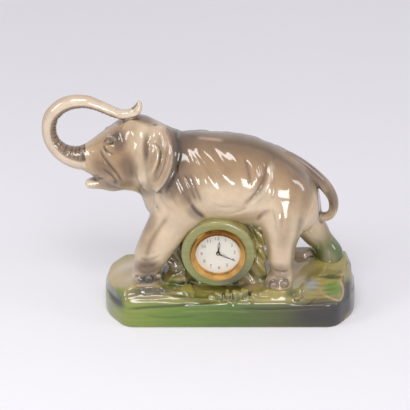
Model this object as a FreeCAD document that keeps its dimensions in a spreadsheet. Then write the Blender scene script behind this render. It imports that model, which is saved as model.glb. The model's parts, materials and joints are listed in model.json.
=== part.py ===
"""Elephant table clock: a slip-cast ceramic elephant on a rocky base, with a wind-up clock under its belly.

Millimetres. Origin at the middle of the base's underside, +Z up.
The dial faces -Y and the elephant walks towards -X.
Depths of clock pieces are measured backwards (+Y) from the front face of the ceramic drum round the clock.
Angles in the clock are seen from the front, anticlockwise from +X.
"""

import FreeCAD, Part
import math
import os
import sys

import Sketcher

V = FreeCAD.Vector

# Driving dimensions: name, value in millimetres, degrees or a count, and what it is.
driving_sizes = [
    ("base_length", 276, "length of the rocky base"),
    ("base_depth", 115, "front to back of the base"),
    ("plinth_height", 24, "smooth band round the base"),
    ("rock_rise", 9, "rocks above the smooth band"),
    ("rock_setback", 9, "how far the rock top stands in from the band"),
    ("corner_run", 22, "corner cut along the base's length"),
    ("corner_reach", 27, "corner cut along the base's depth"),
    ("foot_rim", 7, "unglazed rim that the clock stands on"),
    ("foot_recess", 2.5, "hollow inside that rim"),
    ("clay_wall", 6, "thickness of the cast clay"),
    ("vent_radius", 1.9, "casting vent in the underside"),
    ("elephant_height", 225, "from the rock top to the top of the trunk"),
    ("web_length", 112, "fill between the legs"),
    ("web_depth", 50, "front to back of the fill"),
    ("web_height", 86, "height of the fill"),
    ("web_shift", 15, "fill's middle, towards the head"),
    ("boss_radius", 40.5, "ceramic drum round the clock"),
    ("boss_face", 42, "drum's face in front of the middle plane"),
    ("boss_back", 36, "drum's back behind the middle plane"),
    ("boss_wall", 8, "front wall that the clock is clamped to"),
    ("boss_edge", 2, "rounding of the drum's edges"),
    ("chamber_radius", 34, "open chamber behind the clock"),
    ("clock_shift", 13.6, "clock's axis, towards the head"),
    ("clock_height", 83.6, "clock's axis above the table"),
    ("bezel_radius", 31, "brass bezel"),
    ("bezel_rise", 4.9, "bezel's crest in front of the drum"),
    ("bezel_edge", 1.3, "straight edge round the bezel"),
    ("crest_radius", 28.9, "where the bezel is highest"),
    ("crest_width", 1.6, "flat of the crest"),
    ("sight_radius", 24.75, "opening in the bezel"),
    ("lip_rise", 2.6, "front of the bezel's lip"),
    ("lip_thick", 1.0, "bezel's lip"),
    ("skirt_length", 6, "bezel's skirt round the case"),
    ("skirt_wall", 0.5, "wall of that skirt"),
    ("press_gap", 0.05, "clearance of pressed and pushed fits"),
    ("bore_gap", 0.6, "clearance of the skirt in the ceramic"),
    ("glass_radius", 25.5, "domed glass"),
    ("glass_thick", 1.2, "edge of the glass"),
    ("glass_dome", 1.9, "rise of the glass"),
    ("glass_seat", 0.15, "room for the dome behind the bezel's lip"),
    ("sight_ring_front", 24.9, "sight ring's opening at the glass"),
    ("sight_ring_back", 24.4, "sight ring's opening at the dial"),
    ("dial_depth", 3.0, "dial's face behind the drum's face"),
    ("dial_radius", 25.8, "dial"),
    ("dial_thick", 0.5, "dial"),
    ("dial_hole", 1.7, "hole for the hour pipe"),
    ("dial_foot_radius", 0.6, "pins behind the dial"),
    ("dial_foot_circle", 20, "their distance from the axis"),
    ("dial_foot_length", 5.2, "their length"),
    ("dial_roll", 3.7, "the clock sits turned anticlockwise in its hole"),
    ("case_radius", 26.5, "tin case"),
    ("case_wall", 0.5, "tin case"),
    ("case_front", 0.9, "front rim of the case"),
    ("case_back", 29.0, "rear rim of the case"),
    ("case_lip", 0.6, "lip that the dial rests on"),
    ("cover_thick", 0.6, "rear cover"),
    ("slot_width", 1.6, "regulator's slot in the cover"),
    ("slot_sweep", 54, "angle of that slot"),
    ("clamp_gap", 0.1, "clamp ring round the case"),
    ("clamp_radius", 32.5, "clamp ring's flange"),
    ("clamp_thick", 1.2, "clamp ring's flange"),
    ("collar_radius", 29.2, "clamp ring's collar"),
    ("collar_length", 5, "clamp ring's collar"),
    ("clamp_screw_radius", 1.25, "grub screws in the collar"),
    ("clamp_screw_reach", 4.4, "their length"),
    ("clamp_screw_count", 3, "how many"),
    ("plate_depth", 7.0, "front plate"),
    ("plate_radius", 24, "movement plates"),
    ("plate_thick", 1.2, "movement plates"),
    ("plate_gap", 13.8, "between the plates"),
    ("pillar_radius", 1.6, "pillars"),
    ("pillar_circle", 22, "their distance from the axis"),
    ("tenon_radius", 0.9, "pillar ends"),
    ("tenon_length", 2.6, "pillar ends behind the back plate"),
    ("nut_across", 4.0, "nuts on the pillars"),
    ("nut_height", 1.6, "nuts on the pillars"),
    ("cover_screw_radius", 0.9, "screws of the cover"),
    ("cover_screw_head", 1.9, "their heads"),
    ("cover_screw_rise", 0.9, "their heads"),
    ("cover_screw_length", 2.4, "their threads"),
    ("run_gap", 0.05, "running clearance round a pivot"),
    ("end_shake", 0.1, "endways clearance of an arbor"),
    ("wheel_thick", 0.6, "brass wheels"),
    ("tip_share", 0.95, "tooth above the pitch line, in modules"),
    ("root_share", 1.25, "tooth below the pitch line, in modules"),
    ("leaf_tip_share", 0.55, "pinion leaf above the pitch line, in modules"),
    ("tooth_share", 0.36, "tooth at the pitch line, in pitches"),
    ("centre_teeth", 64, "centre wheel"),
    ("centre_module", 0.34, "centre wheel and third pinion"),
    ("centre_leaves", 12, "centre pinion"),
    ("third_leaves", 8, "third pinion"),
    ("third_teeth", 60, "third wheel"),
    ("third_module", 0.32, "third wheel and fourth pinion"),
    ("third_angle", 100, "third arbor seen from the centre"),
    ("fourth_leaves", 8, "fourth pinion"),
    ("fourth_teeth", 70, "fourth wheel"),
    ("fourth_module", 0.26, "fourth wheel and escape pinion"),
    ("fourth_angle", -15, "fourth arbor seen from the third"),
    ("escape_leaves", 7, "escape pinion"),
    ("escape_teeth", 15, "escape wheel"),
    ("escape_radius", 3.8, "escape wheel's tips"),
    ("escape_angle", -60, "escape arbor seen from the fourth"),
    ("pallet_distance", 5.4, "pallet arbor from the escape arbor"),
    ("pallet_angle", -75, "pallet arbor seen from the escape"),
    ("balance_distance", 7.8, "balance staff from the pallet arbor"),
    ("balance_angle", -118, "balance staff seen from the pallet"),
    ("barrel_teeth", 72, "great wheel on the barrel"),
    ("barrel_module", 0.30, "great wheel and centre pinion"),
    ("barrel_angle", 215, "barrel arbor seen from the centre"),
    ("barrel_depth", 9.4, "front of the barrel"),
    ("barrel_height", 7.5, "barrel"),
    ("barrel_rim", 1.2, "toothed rim of the barrel"),
    ("barrel_drum", 10.0, "radius of the barrel's drum"),
    ("barrel_wall", 0.6, "wall of the barrel"),
    ("hub_radius", 2.0, "barrel arbor inside the barrel"),
    ("barrel_pivot", 1.2, "barrel arbor in the plates"),
    ("spring_thick", 0.22, "mainspring"),
    ("spring_turns", 9, "mainspring"),
    ("spring_inner", 2.4, "mainspring's innermost coil"),
    ("square_across", 1.7, "square for the key"),
    ("ratchet_radius", 5.0, "ratchet wheel"),
    ("ratchet_teeth", 24, "ratchet wheel"),
    ("ratchet_depth", 24.2, "back of the ratchet wheel"),
    ("ratchet_thick", 0.8, "ratchet wheel"),
    ("ratchet_tooth", 0.7, "height of its teeth"),
    ("click_distance", 7.6, "click's screw from the barrel arbor"),
    ("click_angle", 96, "click's screw seen from the barrel"),
    ("click_length", 4.4, "click"),
    ("click_width", 1.6, "click"),
    ("click_screw_radius", 0.7, "click's screw"),
    ("centre_arbor_radius", 0.9, "centre arbor"),
    ("centre_tip_radius", 0.6, "its end inside the cannon pinion"),
    ("centre_rear_radius", 0.8, "its end in the setting knob"),
    ("third_arbor_radius", 0.6, "train arbors"),
    ("pivot_radius", 0.35, "train pivots"),
    ("escape_arbor_radius", 0.45, "escape and pallet arbors"),
    ("collet_radius", 1.4, "brass collets of the wheels"),
    ("collet_length", 1.6, "brass collets of the wheels"),
    ("centre_pinion_depth", 11.2, "back of the centre pinion"),
    ("centre_pinion_length", 2.2, "centre pinion"),
    ("centre_wheel_depth", 20.0, "back of the centre wheel"),
    ("third_pinion_depth", 20.8, "back of the third pinion"),
    ("third_wheel_depth", 13.2, "back of the third wheel"),
    ("fourth_pinion_depth", 13.9, "back of the fourth pinion"),
    ("fourth_wheel_depth", 16.2, "back of the fourth wheel"),
    ("escape_pinion_depth", 16.9, "back of the escape pinion"),
    ("pinion_length", 2.0, "train pinions"),
    ("escape_wheel_depth", 13.5, "back of the escape wheel"),
    ("escape_wheel_thick", 0.5, "escape wheel"),
    ("escape_tooth", 1.0, "height of its teeth"),
    ("lever_depth", 14.5, "back of the pallet lever"),
    ("lever_thick", 0.5, "pallet lever"),
    ("lever_width", 0.8, "pallet lever"),
    ("pallet_pin_radius", 0.15, "pallet pins"),
    ("pallet_pin_length", 1.6, "pallet pins"),
    ("pallet_pin_circle", 4.25, "pallet pins from the escape arbor"),
    ("pallet_pin_angle", 36, "pallet pins each side of the middle"),
    ("lever_reach", 6.0, "fork's end from the pallet arbor"),
    ("balance_depth", 17.1, "back of the balance rim"),
    ("balance_thick", 1.5, "balance rim"),
    ("balance_radius", 7.0, "balance rim"),
    ("balance_rim", 0.9, "balance rim"),
    ("balance_arm", 1.3, "balance arms"),
    ("staff_radius", 0.5, "balance staff"),
    ("staff_pivot", 0.25, "balance staff"),
    ("roller_radius", 1.5, "roller on the staff"),
    ("roller_depth", 15.3, "back of the roller"),
    ("roller_thick", 0.5, "roller"),
    ("impulse_pin_radius", 0.18, "impulse pin on the roller"),
    ("impulse_pin_length", 0.9, "impulse pin"),
    ("impulse_pin_circle", 1.25, "impulse pin"),
    ("cone_radius", 1.5, "screws that carry the staff"),
    ("cone_length", 2.6, "screws that carry the staff"),
    ("hairspring_depth", 19.4, "back of the hairspring"),
    ("hairspring_height", 0.6, "hairspring"),
    ("hairspring_thick", 0.12, "hairspring"),
    ("hairspring_inner", 0.9, "hairspring's innermost coil"),
    ("hairspring_outer", 4.4, "hairspring's outermost coil"),
    ("hairspring_turns", 7, "hairspring"),
    ("stud_radius", 0.4, "hairspring's stud"),
    ("index_ring", 2.5, "regulator's ring"),
    ("index_thick", 0.6, "regulator"),
    ("index_depth", 24.0, "back of the regulator"),
    ("index_reach", 7.2, "regulator's tab from the staff"),
    ("index_angle", 45, "regulator's arm at rest"),
    ("index_width", 1.2, "regulator's arm"),
    ("index_tab", 6.8, "length of the tab through the cover"),
    ("index_pin_radius", 0.12, "pins that hold the hairspring"),
    ("index_pin_length", 5.0, "pins that hold the hairspring"),
    ("index_pin_spread", 0.25, "pins each side of the coil"),
    ("index_pin_slot", 0.9, "width of their slot in the back plate"),
    ("cannon_leaves", 12, "cannon pinion"),
    ("minute_wheel_teeth", 36, "minute wheel"),
    ("motion_module", 0.25, "cannon pinion and minute wheel"),
    ("minute_pinion_leaves", 10, "minute wheel's pinion"),
    ("hour_teeth", 40, "hour wheel"),
    ("minute_wheel_angle", 250, "minute wheel seen from the centre"),
    ("cannon_radius", 0.95, "cannon pinion's pipe"),
    ("cannon_depth", 6.7, "back of the cannon pinion"),
    ("cannon_leaf_length", 1.2, "cannon pinion"),
    ("minute_wheel_depth", 6.3, "back of the minute wheel"),
    ("minute_pinion_length", 1.6, "minute wheel's pinion"),
    ("post_radius", 0.5, "minute wheel's post"),
    ("post_front", 4.1, "front of that post"),
    ("hour_wheel_depth", 5.2, "back of the hour wheel"),
    ("hour_pipe_radius", 1.5, "hour wheel's pipe"),
    ("hour_pipe_front", 1.8, "front of the hour pipe"),
    ("hour_hand_depth", 2.2, "back of the hour hand"),
    ("minute_hand_depth", 1.3, "back of the minute hand"),
    ("hand_thick", 0.3, "hands"),
    ("hour_hand_length", 14.9, "hour hand"),
    ("minute_hand_length", 21.0, "minute hand"),
    ("hour_boss_radius", 2.3, "hour hand's eye"),
    ("minute_boss_radius", 1.9, "minute hand's eye"),
    ("hand_rail", 0.42, "rails of the open hands"),
    ("hour_hand_width", 2.7, "hour hand"),
    ("minute_hand_width", 2.0, "minute hand"),
    ("minute_reading", 19.7, "minutes past twelve that the hands show"),
    ("nut_radius", 1.25, "hand nut"),
    ("hand_nut_height", 0.8, "hand nut"),
    ("knob_radius", 4.0, "setting knob"),
    ("knob_length", 6.0, "setting knob"),
    ("knob_depth", 37.0, "back of the setting knob"),
    ("knob_flutes", 18, "flutes round the knob"),
    ("knob_flute", 0.35, "depth of a flute"),
    ("key_hub_radius", 2.2, "winding key"),
    ("key_front", 30.4, "front of the key's pipe"),
    ("key_pipe", 8.4, "length of the key's pipe"),
    ("key_wing_radius", 4.6, "round of each wing"),
    ("key_wing_offset", 5.0, "wing's middle from the axis"),
    ("key_wing_thick", 1.4, "key's wings"),
    ("key_wing_rise", 4.0, "wing's middle behind the pipe's end"),
    ("key_wing_hole", 1.9, "hole in each wing"),
    ("cut_over", 1, "how far a cutting shape overruns"),
]

doc = FreeCAD.newDocument("elephant_clock")
sheet = doc.addObject("Spreadsheet::Sheet", "Sizes")
for row, (alias, value, note) in enumerate(driving_sizes, start=1):
    sheet.set(f"A{row}", note)
    sheet.set(f"B{row}", str(value))
    sheet.setAlias(f"B{row}", alias)
doc.recompute()


class Dim:
    """A size that knows both its value and the expression that ties it to the sheet."""

    def __init__(self, value, text):
        self.value = float(value)
        self.text = text

    def __add__(self, other):
        other = as_dim(other)
        return Dim(self.value + other.value, f"({self.text} + {other.text})")

    def __sub__(self, other):
        other = as_dim(other)
        return Dim(self.value - other.value, f"({self.text} - {other.text})")

    def __mul__(self, other):
        other = as_dim(other)
        return Dim(self.value * other.value, f"({self.text} * {other.text})")

    def __truediv__(self, other):
        other = as_dim(other)
        return Dim(self.value / other.value, f"({self.text} / {other.text})")

    def __neg__(self):
        return Dim(-self.value, f"(0 - {self.text})")


def as_dim(number):
    return number if isinstance(number, Dim) else Dim(number, repr(float(number)))


class Sizes:
    """The sheet's cells as Dim values, one attribute for each alias."""

    def __getattr__(self, alias):
        return Dim(sheet.get(alias), f"Sizes.{alias}")


z = Sizes()
zero = as_dim(0)
half_turn = as_dim(180)
whole_turn = as_dim(360)


def polar(length, angle):
    """The two coordinates of a point at that distance and angle in degrees."""
    turn = math.radians(angle.value)
    across = Dim(length.value * math.cos(turn), f"({length.text} * cos({angle.text} * 1 deg))")
    up = Dim(length.value * math.sin(turn), f"({length.text} * sin({angle.text} * 1 deg))")
    return across, up


def moved(point, length, angle):
    across, up = polar(length, angle)
    return point[0] + across, point[1] + up


def bearing(start, end):
    """Direction in degrees from one arbor to another."""
    return math.degrees(math.atan2(end[1].value - start[1].value, end[0].value - start[0].value))


def pitch_radius(teeth, module):
    return module * teeth / 2


def mesh_distance(module, teeth, leaves):
    return module * (teeth + leaves) / 2


# Placing: a clock piece is drawn with its back on the local XY plane, and its local Z looks forwards.
facing_front = FreeCAD.Rotation(V(1, 0, 0), 90)
sub_parts = {}


def keep(label, piece):
    piece.Label = label
    sub_parts[label] = piece
    return piece


def seat(piece, at, depth):
    """Puts a clock piece's back at a depth, on the axis at (across, up) from the clock's own axis."""
    piece.Placement = FreeCAD.Placement(V(), facing_front)
    piece.setExpression(".Placement.Base.x", (at[0] - z.clock_shift).text)
    piece.setExpression(".Placement.Base.y", (depth - z.boss_face).text)
    piece.setExpression(".Placement.Base.z", (at[1] + z.clock_height).text)
    return piece


def origin_plane(body, role):
    return [plane for plane in body.Origin.OriginFeatures if plane.Role == role][0]


def new_sketch(body, name, role="XY_Plane", height=None):
    sketch = body.newObject("Sketcher::SketchObject", name)
    sketch.AttachmentSupport = [(origin_plane(body, role), "")]
    sketch.MapMode = "FlatFace"
    if height is not None:
        sketch.setExpression(".AttachmentOffset.Base.z", height.text)
    return sketch


def tie(sketch, kind, first, first_end, second, second_end, dim):
    """A distance that follows the sheet; a distance of nothing becomes an alignment."""
    index = sketch.addConstraint(
        Sketcher.Constraint(kind, first, first_end, second, second_end, dim.value)
    )
    sketch.setExpression(f"Constraints[{index}]", dim.text)


def draw_circle(sketch, radius, at=(zero, zero)):
    centre = V(at[0].value, at[1].value, 0)
    edge = sketch.addGeometry(Part.Circle(centre, V(0, 0, 1), radius.value))
    index = sketch.addConstraint(Sketcher.Constraint("Radius", edge, radius.value))
    sketch.setExpression(f"Constraints[{index}]", radius.text)
    if at[0] is zero and at[1] is zero:
        sketch.addConstraint(Sketcher.Constraint("Coincident", edge, 3, -1, 1))
    else:
        tie(sketch, "DistanceX", -1, 1, edge, 3, at[0])
        tie(sketch, "DistanceY", -1, 1, edge, 3, at[1])


def draw_outline(sketch, points):
    """A closed run of straight lines through plain points."""
    corners = [V(x, y, 0) for x, y in points]
    ends = corners[1:] + corners[:1]
    sketch.addGeometry([Part.LineSegment(a, b) for a, b in zip(corners, ends)])


def draw_profile(sketch, points):
    """A closed run of straight lines whose corners all follow the sheet."""
    count = len(points)
    plain = [(x.value, y.value) for x, y in points]
    draw_outline(sketch, plain)
    for i, (x, y) in enumerate(points):
        sketch.addConstraint(Sketcher.Constraint("Coincident", i, 2, (i + 1) % count, 1))
        if x is zero:
            sketch.addConstraint(Sketcher.Constraint("PointOnObject", i, 1, -2))
        else:
            tie(sketch, "DistanceX", -1, 1, i, 1, x)
        if y is zero:
            sketch.addConstraint(Sketcher.Constraint("PointOnObject", i, 1, -1))
        else:
            tie(sketch, "DistanceY", -1, 1, i, 1, y)


def pad(body, sketch, length):
    feature = body.newObject("PartDesign::Pad", "Pad")
    feature.Profile = sketch
    feature.setExpression("Length", length.text)
    return feature


def spun(name, at, depth, profile):
    """A lathe-turned shape: the profile's corners are (radius, forwards from the back)."""
    body = doc.addObject("PartDesign::Body", name)
    sketch = new_sketch(body, "profile", "XZ_Plane")
    draw_profile(sketch, profile)
    spin = body.newObject("PartDesign::Revolution", "Revolution")
    spin.Profile = sketch
    spin.ReferenceAxis = (sketch, ["V_Axis"])
    spin.Angle = 360
    return seat(body, at, depth)


def turned(label, at, depth, profile):
    """A sub-part that is turned and nothing else."""
    return keep(label, spun(label, at, depth, profile))


def stepped(label, at, stations):
    """A turned arbor: stations run from back to front as (depth, radius up to the next station)."""
    back = stations[0][0]
    profile = [(zero, zero)]
    for (depth, radius), (following, _) in zip(stations, stations[1:]):
        low = zero if depth is back else back - depth
        profile.append((radius, low))
        profile.append((radius, back - following))
    profile.append((zero, back - stations[-1][0]))
    return turned(label, at, back, profile)


def disc(label, at, depth, thick, radius, holes):
    """A flat round piece with round holes, each given as (radius, place)."""
    body = doc.addObject("PartDesign::Body", label)
    sketch = new_sketch(body, "outline")
    draw_circle(sketch, radius)
    for hole_radius, place in holes:
        draw_circle(sketch, hole_radius, place)
    pad(body, sketch, thick)
    seat(body, at, depth)
    return keep(label, body)


def tooth_points(teeth, module, tip, root, middle_angle):
    """Corners of a ring of straight-sided teeth with one tooth at middle_angle."""
    count = int(teeth.value)
    radius = pitch_radius(teeth, module).value
    outer = radius + tip * module.value
    inner = radius - root * module.value
    pitch_angle = 2 * math.pi / count
    at_pitch = z.tooth_share.value * pitch_angle / 2
    root_half = at_pitch * root_spread_share
    tip_half = at_pitch * tip_spread_share
    points = []
    for i in range(count):
        middle = math.radians(middle_angle) + i * pitch_angle
        for reach, turn in ((inner, -root_half), (outer, -tip_half), (outer, tip_half), (inner, root_half)):
            points.append((reach * math.cos(middle + turn), reach * math.sin(middle + turn)))
    return points


root_spread_share = 1.3
tip_spread_share = 0.5


def draw_windows(sketch, inner, outer, arms, arm_width):
    """The openings between a wheel's arms."""
    for i in range(arms):
        start = 2 * math.pi * i / arms
        end = 2 * math.pi * (i + 1) / arms
        low = arm_width / (2 * inner)
        high = arm_width / (2 * outer)
        corners = [
            (inner, start + low),
            (inner, end - low),
            (outer, end - high),
            (outer, start + high),
        ]
        a, b, c, d = [V(r * math.cos(t), r * math.sin(t), 0) for r, t in corners]
        middle = (start + end) / 2
        inner_middle = V(inner * math.cos(middle), inner * math.sin(middle), 0)
        outer_middle = V(outer * math.cos(middle), outer * math.sin(middle), 0)
        sketch.addGeometry(
            [
                Part.Arc(a, inner_middle, b),
                Part.LineSegment(b, c),
                Part.Arc(c, outer_middle, d),
                Part.LineSegment(d, a),
            ]
        )


def toothed(label, at, depth, thick, points, bore, rim=None, hub=None, arms=0, arm_width=None):
    """A wheel cut from sheet brass, with arms when rim and hub radii are given."""
    body = doc.addObject("PartDesign::Body", label)
    sketch = new_sketch(body, "teeth")
    draw_outline(sketch, points)
    draw_circle(sketch, bore)
    if arms:
        draw_windows(sketch, hub.value, rim.value, arms, arm_width.value)
    pad(body, sketch, thick)
    seat(body, at, depth)
    return keep(label, body)


def add_leaves(body, back, depth, length, points):
    """Leaves of a pinion, cut on an arbor whose back is at another depth."""
    sketch = new_sketch(body, "leaves", height=back - depth)
    draw_outline(sketch, points)
    pad(body, sketch, length)


# The movement's layout: each arbor as (across, up) from the clock's axis.
centre = (zero, zero)
third = polar(mesh_distance(z.centre_module, z.centre_teeth, z.third_leaves), z.third_angle)
fourth = moved(third, mesh_distance(z.third_module, z.third_teeth, z.fourth_leaves), z.fourth_angle)
escape = moved(fourth, mesh_distance(z.fourth_module, z.fourth_teeth, z.escape_leaves), z.escape_angle)
pallet = moved(escape, z.pallet_distance, z.pallet_angle)
balance = moved(pallet, z.balance_distance, z.balance_angle)
barrel = polar(mesh_distance(z.barrel_module, z.barrel_teeth, z.centre_leaves), z.barrel_angle)
minute_post = polar(
    mesh_distance(z.motion_module, z.cannon_leaves, z.minute_wheel_teeth), z.minute_wheel_angle
)
click_place = moved(barrel, z.click_distance, z.click_angle)
pillar_angles = [as_dim(5), as_dim(72), as_dim(155), as_dim(268)]
pillar_places = [polar(z.pillar_circle, angle) for angle in pillar_angles]
dial_foot_angles = [as_dim(30) + z.dial_roll, as_dim(210) + z.dial_roll]
dial_feet = [polar(z.dial_foot_circle, angle) for angle in dial_foot_angles]
plate_back = z.plate_depth + z.plate_thick
rear_plate_front = plate_back + z.plate_gap
rear_plate_back = rear_plate_front + z.plate_thick


def wheel_points(teeth, module, towards):
    return tooth_points(teeth, module, z.tip_share.value, z.root_share.value, towards)


def leaf_points(leaves, module, towards):
    """A pinion has a gap, not a leaf, towards the wheel that drives it."""
    half_pitch = 180 / leaves.value
    return tooth_points(leaves, module, z.leaf_tip_share.value, z.root_share.value, towards + half_pitch)


# Bezel, glass, sight ring, dial and case.
def make_bezel():
    front = z.bezel_rise
    back = z.skirt_length
    lip_back = z.lip_rise - z.lip_thick
    skirt_inner = z.case_radius + z.press_gap
    skirt_outer = skirt_inner + z.skirt_wall
    shoulder = z.case_front - z.press_gap
    rebate = z.glass_radius + z.clamp_gap
    half_crest = z.crest_width / 2
    corners = [
        (skirt_inner, zero),
        (skirt_outer, zero),
        (skirt_outer, back),
        (z.bezel_radius, back),
        (z.bezel_radius, back + z.bezel_edge),
        (z.crest_radius + half_crest, back + front),
        (z.crest_radius - half_crest, back + front),
        (z.sight_radius, back + z.lip_rise),
        (z.sight_radius, back + lip_back),
        (rebate, back + lip_back),
        (rebate, back - shoulder),
        (skirt_inner, back - shoulder),
    ]
    return turned("bezel", centre, back, corners)


glass_back = z.glass_thick + z.lip_thick - z.lip_rise + z.glass_seat


def make_glass():
    """A domed glass: a disc whose front is a shallow ball."""
    radius = z.glass_radius.value
    rise = z.glass_dome.value
    thick = z.glass_thick.value
    ball = (radius * radius + rise * rise) / (2 * rise)
    arc_middle = math.sqrt(ball * ball - radius * radius / 4) - (ball - rise)
    outline = [
        Part.Arc(V(radius, 0, thick), V(radius / 2, 0, thick + arc_middle), V(0, 0, thick + rise)).toShape(),
        Part.LineSegment(V(0, 0, thick + rise), V(0, 0, rise)).toShape(),
        Part.Arc(V(0, 0, rise), V(radius / 2, 0, arc_middle), V(radius, 0, 0)).toShape(),
        Part.LineSegment(V(radius, 0, 0), V(radius, 0, thick)).toShape(),
    ]
    piece = doc.addObject("Part::Feature", "glass")
    piece.Shape = Part.Face(Part.Wire(outline)).revolve(V(), V(0, 0, 1), 360)
    seat(piece, centre, glass_back)
    return keep("glass", piece)


def make_sight_ring():
    height = z.dial_depth - glass_back
    profile = [
        (z.sight_ring_back, zero),
        (z.glass_radius, zero),
        (z.glass_radius, height),
        (z.sight_ring_front, height),
    ]
    return turned("sight_ring", centre, z.dial_depth, profile)


def make_dial():
    body = doc.addObject("PartDesign::Body", "dial")
    feet = new_sketch(body, "feet")
    for place in dial_feet:
        draw_circle(feet, z.dial_foot_radius, place)
    pad(body, feet, z.dial_foot_length + z.dial_thick)
    face = new_sketch(body, "face", height=z.dial_foot_length)
    draw_circle(face, z.dial_radius)
    draw_circle(face, z.dial_hole)
    pad(body, face, z.dial_thick)
    seat(body, centre, z.dial_depth + z.dial_thick + z.dial_foot_length)
    return keep("dial", body)


def make_case():
    lip_front = z.dial_depth + z.dial_thick
    inner = z.case_radius - z.case_wall
    length = z.case_back - z.case_front
    profile = [
        (inner, zero),
        (z.case_radius, zero),
        (z.case_radius, length),
        (inner, length),
        (inner, z.case_back - lip_front),
        (z.sight_ring_back, z.case_back - lip_front),
        (z.sight_ring_back, z.case_back - lip_front - z.case_lip),
        (inner, z.case_back - lip_front - z.case_lip),
    ]
    return turned("case_drum", centre, z.case_back, profile)


def arc_slot(sketch, about, radius, middle_angle, sweep, width):
    """A slot that follows a circle, with square ends."""
    start = math.radians(middle_angle - sweep / 2)
    end = math.radians(middle_angle + sweep / 2)
    middle = (start + end) / 2
    inner = radius - width / 2
    outer = radius + width / 2

    def point(reach, turn):
        return V(about[0].value + reach * math.cos(turn), about[1].value + reach * math.sin(turn), 0)

    sketch.addGeometry(
        [
            Part.Arc(point(inner, start), point(inner, middle), point(inner, end)),
            Part.LineSegment(point(inner, end), point(outer, end)),
            Part.Arc(point(outer, end), point(outer, middle), point(outer, start)),
            Part.LineSegment(point(outer, start), point(inner, start)),
        ]
    )


cover_post_places = [pillar_places[0], pillar_places[2]]
plain_nut_places = [pillar_places[1], pillar_places[3]]


def make_back_cover():
    body = doc.addObject("PartDesign::Body", "back_cover")
    sketch = new_sketch(body, "outline")
    draw_circle(sketch, z.case_radius)
    draw_circle(sketch, z.centre_rear_radius + z.clamp_gap + z.clamp_gap, centre)
    draw_circle(sketch, z.barrel_pivot + z.clamp_gap + z.clamp_gap, barrel)
    for place in cover_post_places:
        draw_circle(sketch, z.cover_screw_radius + z.run_gap, place)
    arc_slot(
        sketch, balance, z.index_reach.value, z.index_angle.value, z.slot_sweep.value, z.slot_width.value
    )
    pad(body, sketch, z.cover_thick)
    seat(body, centre, z.case_back + z.cover_thick)
    return keep("back_cover", body)


def make_cover_screws():
    screws = []
    for place in cover_post_places:
        head = Part.makeCylinder(z.cover_screw_head.value, z.cover_screw_rise.value)
        reach = z.cover_thick.value + z.cover_screw_length.value
        thread = Part.makeCylinder(
            z.cover_screw_radius.value, reach + z.cover_screw_rise.value
        )
        slot_wide = z.cover_screw_radius.value / 2
        slot = Part.makeBox(
            2 * z.cover_screw_head.value, slot_wide, slot_wide,
            V(-z.cover_screw_head.value, -slot_wide / 2, 0),
        )
        screw = head.fuse(thread).cut(slot)
        screw.translate(V(place[0].value, place[1].value, 0))
        screws.append(screw)
    piece = doc.addObject("Part::Feature", "cover_screws")
    piece.Shape = Part.makeCompound(screws)
    seat(piece, centre, z.case_back + z.cover_thick + z.cover_screw_rise)
    return keep("cover_screws", piece)


clamp_back = z.boss_wall + z.clamp_thick + z.collar_length
first_clamp_angle = 90


def clamp_screw_lines():
    """Where each grub screw starts, on the case, and which way it points, in the ring's own frame."""
    count = int(z.clamp_screw_count.value)
    lines = []
    for i in range(count):
        turn = math.radians(first_clamp_angle + 360 * i / count)
        out = V(math.cos(turn), math.sin(turn), 0)
        start = out * z.case_radius.value + V(0, 0, z.collar_length.value / 2)
        lines.append((start, out))
    return lines


def make_clamp():
    """The ring that clamps the case from behind, bored through its collar for the grub screws."""
    inner = z.case_radius + z.clamp_gap
    profile = [
        (inner, zero),
        (z.collar_radius, zero),
        (z.collar_radius, z.collar_length),
        (z.clamp_radius, z.collar_length),
        (z.clamp_radius, z.collar_length + z.clamp_thick),
        (inner, z.collar_length + z.clamp_thick),
    ]
    blank = spun("clamp_blank", centre, clamp_back, profile)
    doc.recompute()
    shape = blank.Shape.copy()
    shape.Placement = FreeCAD.Placement()
    reach = z.clamp_screw_reach.value + 2 * z.cut_over.value
    for start, out in clamp_screw_lines():
        mouth = start - out * z.cut_over.value
        shape = shape.cut(Part.makeCylinder(z.clamp_screw_radius.value + z.run_gap.value, reach, mouth, out))
    ring = doc.addObject("Part::Feature", "clamp_ring")
    ring.Shape = shape
    seat(ring, centre, clamp_back)
    return keep("clamp_ring", ring)


def make_clamp_screws():
    reach = z.clamp_screw_reach.value
    slot_side = z.clamp_screw_radius.value / 2
    screws = []
    for start, out in clamp_screw_lines():
        screw = Part.makeCylinder(z.clamp_screw_radius.value, reach, start, out)
        slot = Part.makeBox(slot_side, 2 * z.clamp_screw_radius.value, slot_side)
        slot.translate(V(-slot_side / 2, -z.clamp_screw_radius.value, reach - slot_side))
        slot.Placement = FreeCAD.Placement(start, FreeCAD.Rotation(V(0, 0, 1), out)).multiply(slot.Placement)
        screws.append(screw.cut(slot))
    piece = doc.addObject("Part::Feature", "clamp_screws")
    piece.Shape = Part.makeCompound(screws)
    seat(piece, centre, clamp_back)
    return keep("clamp_screws", piece)


# Plates, pillars and nuts.
def plate_holes():
    gap = z.run_gap
    holes = [
        (z.centre_rear_radius + gap, centre),
        (z.pivot_radius + gap, third),
        (z.pivot_radius + gap, fourth),
        (z.pivot_radius + gap, escape),
        (z.pivot_radius + gap, pallet),
        (z.barrel_pivot + gap, barrel),
        (z.cone_radius, balance),
    ]
    return holes + [(z.tenon_radius, place) for place in pillar_places]


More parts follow.
